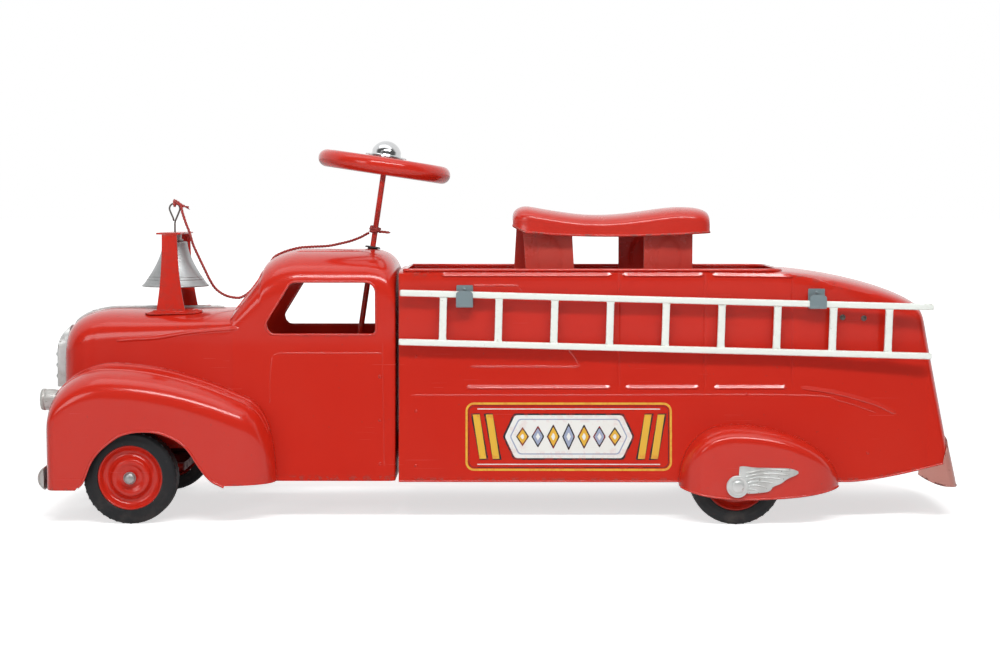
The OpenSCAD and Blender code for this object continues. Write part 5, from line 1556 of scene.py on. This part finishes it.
def make_bell():
    k = np.linspace(0, 1, 60)
    lip = [(36.2, 0.2), (37.2, -0.15), (38.0, 0.1), (38.15, 0.7), (37.7, 1.4)]
    outside = [(r, z) for r, z in zip(bell_r(k), BELL_H * k) if z > 2.0]
    crown = smooth([(14.0, 50.0), (12.6, 51.3), (9.0, 52.0), (7.8, 52.0)], 14).tolist()
    inside = [(max(r - 1.6, 7.8), min(z, 49.0)) for r, z in zip(bell_r(k)[::-1], BELL_H * k[::-1])]
    profile = lip + outside + crown + [(7.8, 50.4), (9.0, 50.4)] + inside + lip[:1]
    Shape().turned(profile, at(BELL_X, 0, BELL_Z), 96).piece("bell_spun", bell_silver, "bell", angle=50)
    lines = Shape()
    for z, out in ((8.0, 0.25), (11.0, 0.2)):
        x, y = arc(bell_r(z / BELL_H) - 0.35 + out, 0, 2 * math.pi, 97, BELL_X)[:-1].T
        lines.tube(as_points(x, y, BELL_Z + z), 0.55, sides=7, closed=True)
    lines.piece("bell_turned_lines", bell_silver)


make_bell()


def foot_place():
    """Where a foot rests: height, fall along the hood and fall across it."""
    def z(d, y):
        return float(hood_height(FOOT_D + d, LEG_Y + y))

    slope = (z(30, 0) - z(-30, 0)) / 60
    roll = (z(0, 5) - z(0, -5)) / 10
    steps = [(82 * i / 8, 20 * j / 4) for i in range(-4, 5) for j in range(-2, 3)]
    return z(0, 0) + GAP + max(z(d, y) - (z(0, 0) + slope * d + roll * y) for d, y in steps), slope, roll


def make_bracket():
    foot_z, slope, roll = foot_place()
    thick = 1.6
    arms = Shape()
    arms.slab(rounded([(-14, -44.4, 3), (14, -44.4, 3), (14, 44.4, 3), (-14, 44.4, 3)]), PLATE_Z - 2, PLATE_Z,
              at(BELL_X, 0, 0))
    spots = []
    t = np.linspace(0, 1, 30)
    flare = t**2.2
    z = PLATE_Z - 0.6 + (foot_z - PLATE_Z + 1.0) * t
    leg = np.concatenate([as_points(BELL_X - 7.2 - 7.3 * flare, z), as_points(BELL_X + 10 + 8.5 * flare, z)[::-1]])
    oval = np.concatenate([arc(10, -QUARTER, QUARTER, 20, 14), arc(10, QUARTER, 3 * QUARTER, 20, -31)])
    for side in SIDES:
        arms.slab(leg, 0.0, thick, side_place(0, side * LEG_Y + 0.8))
        place = at(AXLE_F + FOOT_D, side * LEG_Y, foot_z) @ Matrix.Rotation(side * math.atan(roll), 4, "X")
        place = place @ Matrix.Rotation(-math.atan(slope), 4, "Y")
        arms.slab(oval, 0.0, thick, place)
        arms.slab(oval * 0.86, thick - 0.1, thick + 0.5, place)
        up = tuple(place.to_3x3() @ Vector((0, 0, 1)))
        spots += [(tuple(place @ Vector((x, 0, thick + 0.5))), up) for x in (-30.0, 17.0)]
    dress(ease(arms.made("bell_bracket_bent"), 0.45, 45), red_enamel, "bell_bracket", angle=40)
    rivet_row("bracket_rivets", spots, 2.3, 1.3, red_enamel)


make_bracket()


def make_striker():
    lean = math.asin(6.0 / 15.0)
    x, z = arc(6, -lean, math.pi + lean, 40, 0.0, 343.0).T
    bend = smooth([(0, 0, 325.0), (0.3, 0, 328.0), (1.6, 0, 331.4), (3.6, 0, 336.0)], 12)
    path = np.concatenate([
        [(0, 0, 265.0), (0, 0, 300.0), (0, 0, 324.0)], bend, as_points(x, 0, z),
        [(-3.4, 0, 335.6), (-1.9, 0.6, 332.0), (-1.6, 1.6, 329.0)],
    ]) + [BELL_X, 0, 0]
    wire = Shape().tube(track(path, 0.9), 1.0, sides=12)
    wire.piece("striker_bent_wire", wire_steel, "striker_wire", body="striker")
    profile = arc(7, -QUARTER, QUARTER, 30)
    profile[[0, -1], 0] = 0
    place = at(BELL_X, 0, 265)
    neck = [(0, 5.5), (2.2, 5.9), (2.4, 7.4), (1.7, 8.4), (0, 8.4)]
    ball = Shape().turned(profile, place, 40).turned(neck, place, 24)
    ball.piece("striker_cast_ball", zinc_steel, "striker_ball", body="striker")
    place = at(BELL_X, 0, 0)
    stud = [(6.1, 301.9), (9.2, 301.9), (9.2, 303.4), (7.6, 303.6), (7.6, 313.8), (6.1, 313.8), (6.1, 301.9)]
    Shape().turned(stud, place, 48).piece("bell_stud_turned", zinc_steel, "bell_stud", angle=40)
    nut = Shape().slab(arc(9.6, 0, 2 * math.pi, 7)[:-1], 306.1, 308.1, place).made("bell_stud_nut")
    dress(ease(nut, 0.35, 30), zinc_steel, angle=40)


make_striker()


# Steering wheel, dome, column and bush


def make_steering():
    place = column_place(391.0)
    r0 = (152 - 19.5) / 2
    rim = Shape().turned(arc(9.75, 0, 2 * math.pi, 41, r0), place, 144)
    s = np.linspace(10, r0, 24)
    for angle in np.radians((60, 180, 300)):
        spoke = as_points(s * math.cos(angle), s * math.sin(angle), -2.4 * np.sin(math.pi * (s - 10) / (r0 - 10)))
        rim.tube(moved(spoke, place), 5.5 + 1.6 * ((s - 38) / 28) ** 2, sides=18, flat=0.72)
    rim.turned([(3.4, -7), (13, -7), (13.6, -6.2), (19.4, 9.6), (20, 10.7), (3.4, 10.7), (3.4, -7)], place, 64)
    rim.piece("steering_wheel_moulded", red_enamel, "steering_wheel", body="steering", angle=44)
    top, high, r = 11.0, 29.3, 17.5
    ball = [(r * math.sin(t * 1.2309), high - r + r * math.cos(t * 1.2309)) for t in np.linspace(1, 0, 24)]
    profile = [(0, top), (23.2, top), (23.6, top + 0.5), (23.3, top + 1.4), (20.0, top + 2.1), (17.6, top + 2.0)]
    profile += [(16.9, top + 2.6), (16.5, top + 3.6)] + ball[:-1] + [(0.0, high)]
    Shape().turned(profile, place, 80).piece("wheel_dome_spun", chrome, "wheel_dome", body="steering", angle=40)
    column = Shape().turned([(0, -1.5), (2.9, -1.5), (3.2, -1.2), (3.2, 338), (0, 338)], column_place(62.0), 40)
    column.piece("steering_column_rod", red_enamel, "steering_column", body="steering", angle=40)
    bush = [(3.3, -5.0), (5.4, -5.0), (5.6, -4.6), (5.6, 0.9), (8.6, 0.95), (9.0, 1.3), (8.9, 2.0), (8.0, 2.7),
            (5.2, 2.9), (3.9, 2.7), (3.3, 2.2), (3.3, -5.0)]
    Shape().turned(bush, column_place(ROOF_Z), 48).piece("roof_bush_moulded", bush_rubber, "roof_bush", angle=40)


make_steering()


# Wheels
TYRE_R = 50.8
TYRE_HALF = 11.0
SHOULDER = 4.8


def hub_place(x, side):
    return at(x, side * TRACK_HALF, HUB_Z) @ turn("X", -90 * side)


def make_wheel(x, side, tag, body):
    """A rubber tyre with lugs on its shoulders, on a pressed disc."""
    place = hub_place(x, side)
    flank = [(35.5, 10.6), (36.6, 11.0), (40.0, 10.7), (41.0, 10.9), (42.2, 10.6)]
    flank += arc(SHOULDER, QUARTER, 0, 10, TYRE_R - SHOULDER, TYRE_HALF - SHOULDER).tolist()
    flank += [(TYRE_R, 3.0), (49.9, 2.6), (49.9, 1.4), (TYRE_R, 1.0)]
    profile = [(r, -z) for r, z in flank] + flank[::-1] + [(35.5, -10.6)]
    Shape().turned(profile, place, 120).piece("tyre_%s_moulded" % tag, rubber, "tyre_" + tag, body=body, angle=34)
    block = rounded([(-1.5, 44.6, 0.5), (1.5, 44.6, 0.5), (1.3, 50.62, 0.5), (-1.3, 50.62, 0.5)], steps=2)
    lugs = Shape().slab(block, -9.4, -6.2, turn("X", 90)).slab(block, 6.2, 9.4, turn("X", 90))
    lugs = lugs.made("tread_" + tag, origin=0.0)
    grow(lugs, ring, {"Count": 40, "Hub": tuple(metres((x, side * TRACK_HALF, HUB_Z))), "Finish": rubber})
    dress(lugs, rubber, body=body, angle=40)
    face = smooth([(6.6, 6.5), (12, 7), (16.5, 8.6), (20, 8), (23, 4), (27, 2.4), (30.5, 4), (32.6, 7.6),
                   (34.2, 9.4), (35.3, 9.2)], 60)
    profile = [(4.1, -13), (6.6, -13), (6.6, 4.6)] + (face - [0.0, 1.6]).tolist()[1:-6]
    profile += [(33.6, 7.4), (33.7, -9), (34.4, -9.6), (35.3, -9.0)] + face[::-1].tolist()
    profile += [(6.6, 8.6), (6.2, 9.0), (4.1, 9.0), (4.1, -13)]
    disc = Shape().turned(profile, place, 96)
    disc.piece("disc_%s_pressed" % tag, red_enamel, "disc_" + tag, body=body, angle=34)


for x, end in AXLES:
    for side, hand in HANDS:
        make_wheel(x, side, "%s_%s" % (end, hand), "wheel_%s%s" % (end[0], hand[0]))
for (x, end), body in zip(AXLES, ("carrier", "root")):
    dome = [(6.2 * math.cos(t), 12.4 + 3.7 * math.sin(t)) for t in np.linspace(0, QUARTER, 14)][:-1]
    profile = [(4.1, 9.3), (6.2, 9.3), (6.5, 9.6), (6.5, 11.6), (6.9, 11.9), (6.6, 12.4)] + dome + [(0.0, 16.1)]
    caps = Shape()
    for side in SIDES:
        caps.turned(profile, hub_place(x, side), 40)
    caps.piece("%s_axle_push_caps" % end, zinc_steel, "%s_axle_caps" % end, body=body, angle=44)


# Nose: grille, strip, lamps and bumper


def make_grille():
    """A deep cast grille that stands off the nose and leans back at its top."""
    deep = 13.0
    face = at(AXLE_F - NOSE - GAP, 0, 0) @ Matrix(((0, 0, -1, 0), (1, 0, 0, 0), (0, 1, 0, 0), (0, 0, 0, 1)))
    front = np.array([(138, deep), (180, deep), (188, 12.2), (196, 10), (203, 6.5), (208.5, 2), (211, 0.4)])

    def reach(z):
        return np.interp(z, front[:, 0], front[:, 1])

    outline = np.concatenate([[(-24, 140), (24, 140)], arc(24, 0, math.pi, 40, 0, 186)])
    line = closed_line(outline, 1.6)
    middle = np.array([0.0, 172.0])
    inward = unit(middle - line)
    grille = Shape()
    # the rounded edge of the casting: how far inwards, and how far below the face; None is the back
    rings = []
    for inset, drop in ((0.3, None), (0.0, 1.6), (0.2, 0.8), (0.9, 0.15), (1.5, 0.0), (2.1, 0.15), (2.8, 0.8),
                        (3.0, 1.6), (3.0, None), (0.3, None)):
        x, z = (line + inward * inset).T
        out = 0.0 if drop is None else np.maximum(0.2, reach(line[:, 1]) - drop)
        rings.append(moved(as_points(x, z, out), face))
    grille.loft(rings, wrap=True)
    plate = closed_line(outline, 3.0)
    grille.slab(plate + (middle - plate) * 0.06, 0.0, 1.4, face)
    for i in range(-3, 4):
        x, top = 6.0 * i, 186 - i * i
        z = np.linspace(141.5, top + 19.5, 30)
        grille.tube(moved(as_points(x, z, np.maximum(1.2, reach(z) - 1.9)), face), 1.0, sides=8)
        grille.slab([(x - 0.6, 141), (x + 0.6, 141), (x + 0.6, top), (x - 0.6, top)], 1.0, deep - 2.2, face)
    s = np.linspace(-21, 21, 40)
    r = np.maximum(3.5 * (1 - np.clip((np.abs(s) - 18.2) / 2.8, 0, 1) ** 2) ** 0.5, 0.4)
    for z in (152.0, 164.5, 177.0):
        grille.tube(moved(as_points(s, z, deep - 1.0), face), r, sides=20)
    grille.piece("grille_cast", cast_silver, "grille", angle=44)


def make_hood_strip():
    rings = []
    u, v = rounded([(-3.0, 0.0, 0.0), (3.0, 0.0, 0.0), (3.0, 2.4, 1.4), (-3.0, 2.4, 1.4)], steps=5).T[..., None]
    for s in np.concatenate([np.linspace(-86, -74, 14), np.linspace(-72, 87, 60)]):
        p, n = on_top(s, 0.0)
        close = max(0.2, 1 - 0.5 * (1 - min(1.0, (s + 86.5) / 4)) ** 2 - 0.85 * (1 - min(1.0, (87.4 - s) / 9)) ** 2)
        rings.append(p + n * (GAP + v * close) + u * close * [0.0, 1.0, 0.0])
    Shape().loft(rings, wrap=True, caps=True).piece("hood_strip_cast", cast_silver, "hood_trim", angle=50)


def make_lamps():
    shells = Shape()
    lenses = Shape()
    housing = [(0, 2.6), (9.4, 2.6), (9.8, 0.8), (10.6, 0.0), (11.5, 0.2), (12.0, 1.2), (12.0, 4.0),
               (11.5, 4.6), (11.8, 7.4)]
    cone = smooth([(11.8, 7.5), (11.2, 14), (9.4, 24), (7.0, 32), (4.8, 35.6), (0.0, 36.2)], 24).tolist()
    lens = [(9.5 * math.sin(t * 1.5708), 2.3 - 2.2 * math.cos(t * 1.5708)) for t in np.linspace(0, 1, 12)]
    for side in SIDES:
        shells.turned(housing + cone, lamp_place(side), 56)
        lenses.turned(lens + [(9.3, 2.55), (0, 2.55)], lamp_place(side), 48)
    shells.piece("headlight_shells", cast_silver, "headlights", angle=40)
    lenses.piece("headlight_lenses", glass)


def make_bumper():
    half, depth, tall, bent, z0 = 110.0, 8.0, 13.0, 4.0, 47.0
    bend = (half**2 + bent**2) / (2 * bent)
    r = (tall**2 + depth**2) / (2 * depth)
    thin = 0.885

    def back(z, r_now):
        return r - np.sqrt(np.maximum(0.0, r_now**2 - z * z))

    outer = []
    inner = []
    for s in np.concatenate([[-110, -109.6, -108.8], np.linspace(-107, 107, 60), [108.8, 109.6, 110]]):
        near = min(1.0, (half - abs(s)) / 2.2)
        high = tall - 1.6 * (1 - math.sqrt(max(0.0, 1 - (1 - near) ** 2)))
        z = np.linspace(-high, high, 26)
        x0 = FRONT_X + bend - math.sqrt(bend**2 - s**2)
        outer.append(as_points(x0 + back(z, r), s, z0 + z))
        inner.append(as_points(x0 + back(z * thin, r - 1.6), s, z0 + z * thin))
    bumper = Shape().shell(outer, inner)
    z = np.linspace(-11.6, 11.6, 24)
    for side in SIDES:
        bumper.slab(as_points(back(z, r), z), -0.5, 0.5, side_place(FRONT_X + bent + 0.9, side * (half - 1.0), z0))
    dress(ease(bumper.made("bumper_pressed"), 0.4, 50), bumper_silver, "front_bumper", angle=40)


make_grille()
make_hood_strip()
make_lamps()
make_bumper()


# Winged badges on the rear fenders


def make_badges():
    badges = Shape()
    outline = smooth([
        (2, 21.4), (20, 20.6), (40, 20.2), (56, 19.6), (65.4, 16.4), (63.6, 13), (54, 8.5), (47, 3.5), (39, 0),
        (34, -5), (22, -7), (11, -7.4), (4, -4), (1, 8),
    ], 70, closed=True)
    middle = outline.mean(0)
    boss = [(0, 5.2), (4.6, 5.1), (6.2, 4.5), (6.9, 3.5), (8.6, 3.2), (9.4, 3.6), (11.2, 3.4), (12.0, 2.6),
            (12.0, 0.0), (0, 0)]
    for side in SIDES:
        place = at(AXLE_R, side * (FENDER_HALF + GAP), HUB_Z - 7) @ Matrix.Diagonal((1, side, 1, 1))
        place = place @ turn("X", -90) @ Matrix.Diagonal((1, -1, 1, 1))
        badges.slab(outline, 0.0, 1.6, place)
        badges.slab(middle + (outline - middle) * 0.93, 1.5, 2.2, place)
        for k in range(6):
            y0 = 18.0 - 4.3 * k
            length = 60 - 8.2 * k
            x, y = smooth([(9.0, y0 * 0.86 - 0.6), (0.45 * length + 5, y0 + 0.8), (length + 2, y0 - 0.6)], 24).T
            thick = 1.05 * (1 - 0.55 * np.linspace(0, 1, 24) ** 3) + 0.05
            badges.tube(moved(as_points(x, y, 2.2), place), thick, sides=10)
        badges.turned(boss, place, 64)
    badges.piece("wing_badges_cast", cast_silver, "wing_badges", angle=36)


make_badges()


# Painted panel on each side: a pinstripe frame round a white plate with lozenges, and slanted bars beside it
PANEL = (-34.0, 191.8, 55.5, 128.2)


def ribbon(shape, line, side, width):
    """A painted stripe that follows the side of the hose body."""
    line = track(line, 2.5)
    along = unit(np.gradient(line, axis=0))
    across = as_points(-along[:, 1], along[:, 0]) * width
    rings = []
    for t, lift in ((-0.5, 0.14), (0.0, 0.14), (0.5, 0.14), (0.5, -0.25), (-0.5, -0.25)):
        p = line + across * t
        rings.append(on_side(hose_wall, p[:, 0], p[:, 1], side, lift)[0])
    shape.loft(np.array(rings).transpose(1, 0, 2), wrap=True, caps=True)


def sized(outline, scale):
    """The outline made smaller or larger about its middle."""
    middle = outline.mean(0)
    return middle + (outline - middle) * scale


def patch(shape, outline, side, lift):
    """A small painted figure on the side of the hose body."""
    rings = []
    for k, rise in ((1.0, -0.25), (1.0, lift), (0.8, lift), (0.6, lift), (0.4, lift), (0.2, lift)):
        p = sized(outline, k)
        rings.append(on_side(hose_wall, p[:, 0], p[:, 1], side, rise)[0])
    shape.loft(rings, wrap=True, caps=True)


def frame_line(inset, radius):
    x0, x1, z0, z1 = np.array(PANEL) + [inset, -inset, inset, -inset]
    line = rounded([(x0, z0, radius), (x1, z0, radius), (x1, z1, radius), (x0, z1, radius)], steps=8)
    return np.concatenate([line, line[:2]])


def make_panel(side, hand):
    yellow, white, black, blue = (Shape() for _ in range(4))
    x0, x1, z0, z1 = PANEL
    cx, cz = 0.5 * (x0 + x1), 0.5 * (z0 + z1)

    def plate(x, z, point):
        corners = [(-x, -z, 4), (x, -z, 4), (x + point, 0, 3), (x, z, 4), (-x, z, 4), (-x - point, 0, 3)]
        return closed_line(rounded([(cx + u, cz + v, r) for u, v, r in corners], steps=5), 2.5)

    ribbon(yellow, frame_line(0.0, 8), side, 2.3)
    ribbon(black, frame_line(2.6, 6), side, 0.8)
    patch(black, plate(61, 25.5, 12), side, 0.16)
    patch(white, plate(59.4, 23.6, 11.2), side, 0.26)
    patch(blue, plate(55.5, 19.6, 9.6), side, 0.34)
    patch(white, plate(54.5, 18.4, 9.2), side, 0.42)
    for k in range(-3, 4):
        px, wide, tall = cx + 17.0 * k, 7.2, 15.5 - 1.6 * abs(k)
        lozenge = np.array([(px - wide, cz), (px, cz + tall), (px + wide, cz), (px, cz - tall)])
        for paint, scale, lift in ((black, 1.0, 0.50), (yellow if k % 2 else blue, 0.78, 0.57),
                                   (white, 0.34, 0.64)):
            patch(paint, closed_line(sized(lozenge, scale), 2.0), side, lift)
    tall = 25.5
    for end in SIDES:
        for k in (0, 1):
            px = cx + end * (84.0 + 14.5 * k)
            lean = end * 5.0
            bar = np.array([(px - 5 - lean, cz - tall), (px + 5 - lean, cz - tall), (px + 5 + lean, cz + tall),
                            (px - 5 + lean, cz + tall)])
            patch(black, closed_line(bar, 2.5), side, 0.16)
            patch(yellow, closed_line(sized(bar, np.array([0.76, 0.955])), 2.5), side, 0.26)
    for z in (cz - 30.4, cz + 30.4):
        ribbon(white, [(x0 + 12, z), (x1 - 12, z)], side, 1.0)
    for shape, name, paint in (
            (yellow, "yellow", stripe_yellow), (white, "white", stripe_white), (black, "black", stripe_black),
            (blue, "blue", stripe_blue)):
        shape.piece("panel_%s_%s" % (name, hand), paint)


for side, hand in HANDS:
    make_panel(side, hand)


# Rivets and screws of the body


def spots_on(wall, places):
    spots = []
    for side in SIDES:
        for x, z in places:
            spots.append(on_side(wall, x, z, side))
    return spots


rivet_row("body_rivets", spots_on(hose_wall, (
    (275.6, 138.8), (-90.0, 60.0), (-90.0, 120.0), (-90.0, 180.0), (205.0, 58.0), (345.0, 62.0), (410.0, 74.0),
)) + spots_on(cab_wall, ((-130.0, 62.0), (-130.0, 110.0), (-130.0, 158.0))), 1.7, 0.8, red_enamel)
rivet_row("rear_bolt_heads", spots_on(hose_wall, ((381.7, 223.5), (405.4, 222.4))), 2.6, 1.6, wire_steel,
          "plain_steel")


# Finishes of the pieces that stay as they are


def repaint(names, material):
    for name in names:
        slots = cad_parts[name].data.materials
        if len(slots) == 0:
            slots.append(material)
        for i in range(len(slots)):
            slots[i] = material


# The chassis pieces take the red darkened as painted shade under the truck.
repaint(["chassis_channel", "cross_members", "rear_axle_hangers", "front_axle_carrier"], under_red_painted_shade)
repaint(["front_apron", "bed_floor"], red_enamel)
repaint([
    "bumper_brackets", "seat_bolts", "column_bearing", "column_collar", "steering_arm", "drag_link",
    "link_retainers", "king_bolt", "king_spacer", "front_axle", "front_axle_spacers", "rear_axle",
    "rear_axle_spacers",
], zinc_steel)


# Floor, background and soft light


def make_floor():
    mesh = bpy.data.meshes.new("studio_floor")
    r = 30.0
    mesh.from_pydata([(-r, -r, 0), (r, -r, 0), (r, r, 0), (-r, r, 0)], [], [(0, 1, 2, 3)])
    floor = bpy.data.objects.new("studio_floor", mesh)
    bpy.context.scene.collection.objects.link(floor)
    material = bpy.data.materials.new("pale floor")
    w = fresh(material)
    matt = w.node("ShaderNodeBsdfDiffuse", Color=(0.82, 0.82, 0.82, 1))
    path = w.node("ShaderNodeLightPath").outputs
    seen = w.sum("MAXIMUM", path["Is Camera Ray"], w.times(path["Is Glossy Ray"], 0.3))
    away = w.node("ShaderNodeVectorMath", {"operation": "LENGTH"}, Vector=w.place()).outputs["Value"]
    glow = w.node("ShaderNodeEmission", Strength=w.times(seen, w.between(away, 0.9, 3.0, 0.66, 1.0)))
    both = w.nodes.new("ShaderNodeAddShader")
    w.put(both.inputs[0], matt.outputs[0])
    w.put(both.inputs[1], glow.outputs[0])
    w.node("ShaderNodeOutputMaterial", Surface=both.outputs[0])
    mesh.materials.append(material)


def make_world():
    """Soft light for the truck; white behind it, and dim in what it reflects from behind the camera."""
    world = bpy.data.worlds.new("studio")
    bpy.context.scene.world = world
    w = fresh(world)
    path = w.node("ShaderNodeLightPath").outputs
    mirrored = w.sum("MAXIMUM", path["Is Glossy Ray"], path["Is Transmission Ray"])
    seen = w.sum("MAXIMUM", path["Is Camera Ray"], mirrored)
    soft = w.node("ShaderNodeBackground", Color=(1, 1, 1, 1), Strength=0.27)
    depth = w.part(w.place("Generated"), "Y")
    room = w.sum("MAXIMUM", path["Is Camera Ray"], w.between(depth, -0.30, 0.10, 0.13, 1.0))
    white = w.node("ShaderNodeBackground", Color=(1, 1, 1, 1), Strength=room)
    mix = w.node("ShaderNodeMixShader")
    for socket, value in zip(mix.inputs, (seen, soft.outputs[0], white.outputs[0])):
        w.put(socket, value)
    w.node("ShaderNodeOutputWorld", Surface=mix.outputs[0])


def soft_lamp(name, place, size, power, target=(0.0, 0.0, 0.2)):
    data = bpy.data.lights.new(name, "AREA")
    data.shape = "RECTANGLE"
    data.size, data.size_y = size
    data.energy = power
    lamp = bpy.data.objects.new(name, data)
    bpy.context.scene.collection.objects.link(lamp)
    lamp.location = place
    lamp.rotation_euler = (Vector(target) - Vector(place)).to_track_quat("-Z", "Y").to_euler()


make_floor()
make_world()
soft_lamp("softbox_key", (0.25, -1.50, 1.85), (1.9, 0.30), 31.0)
soft_lamp("softbox_above", (-0.1, -0.35, 2.1), (2.6, 0.9), 10.0)
soft_lamp("softbox_front_left", (-1.7, -2.2, 1.1), (0.8, 1.0), 10.0)

bpy.context.scene.view_settings.view_transform = "Standard"
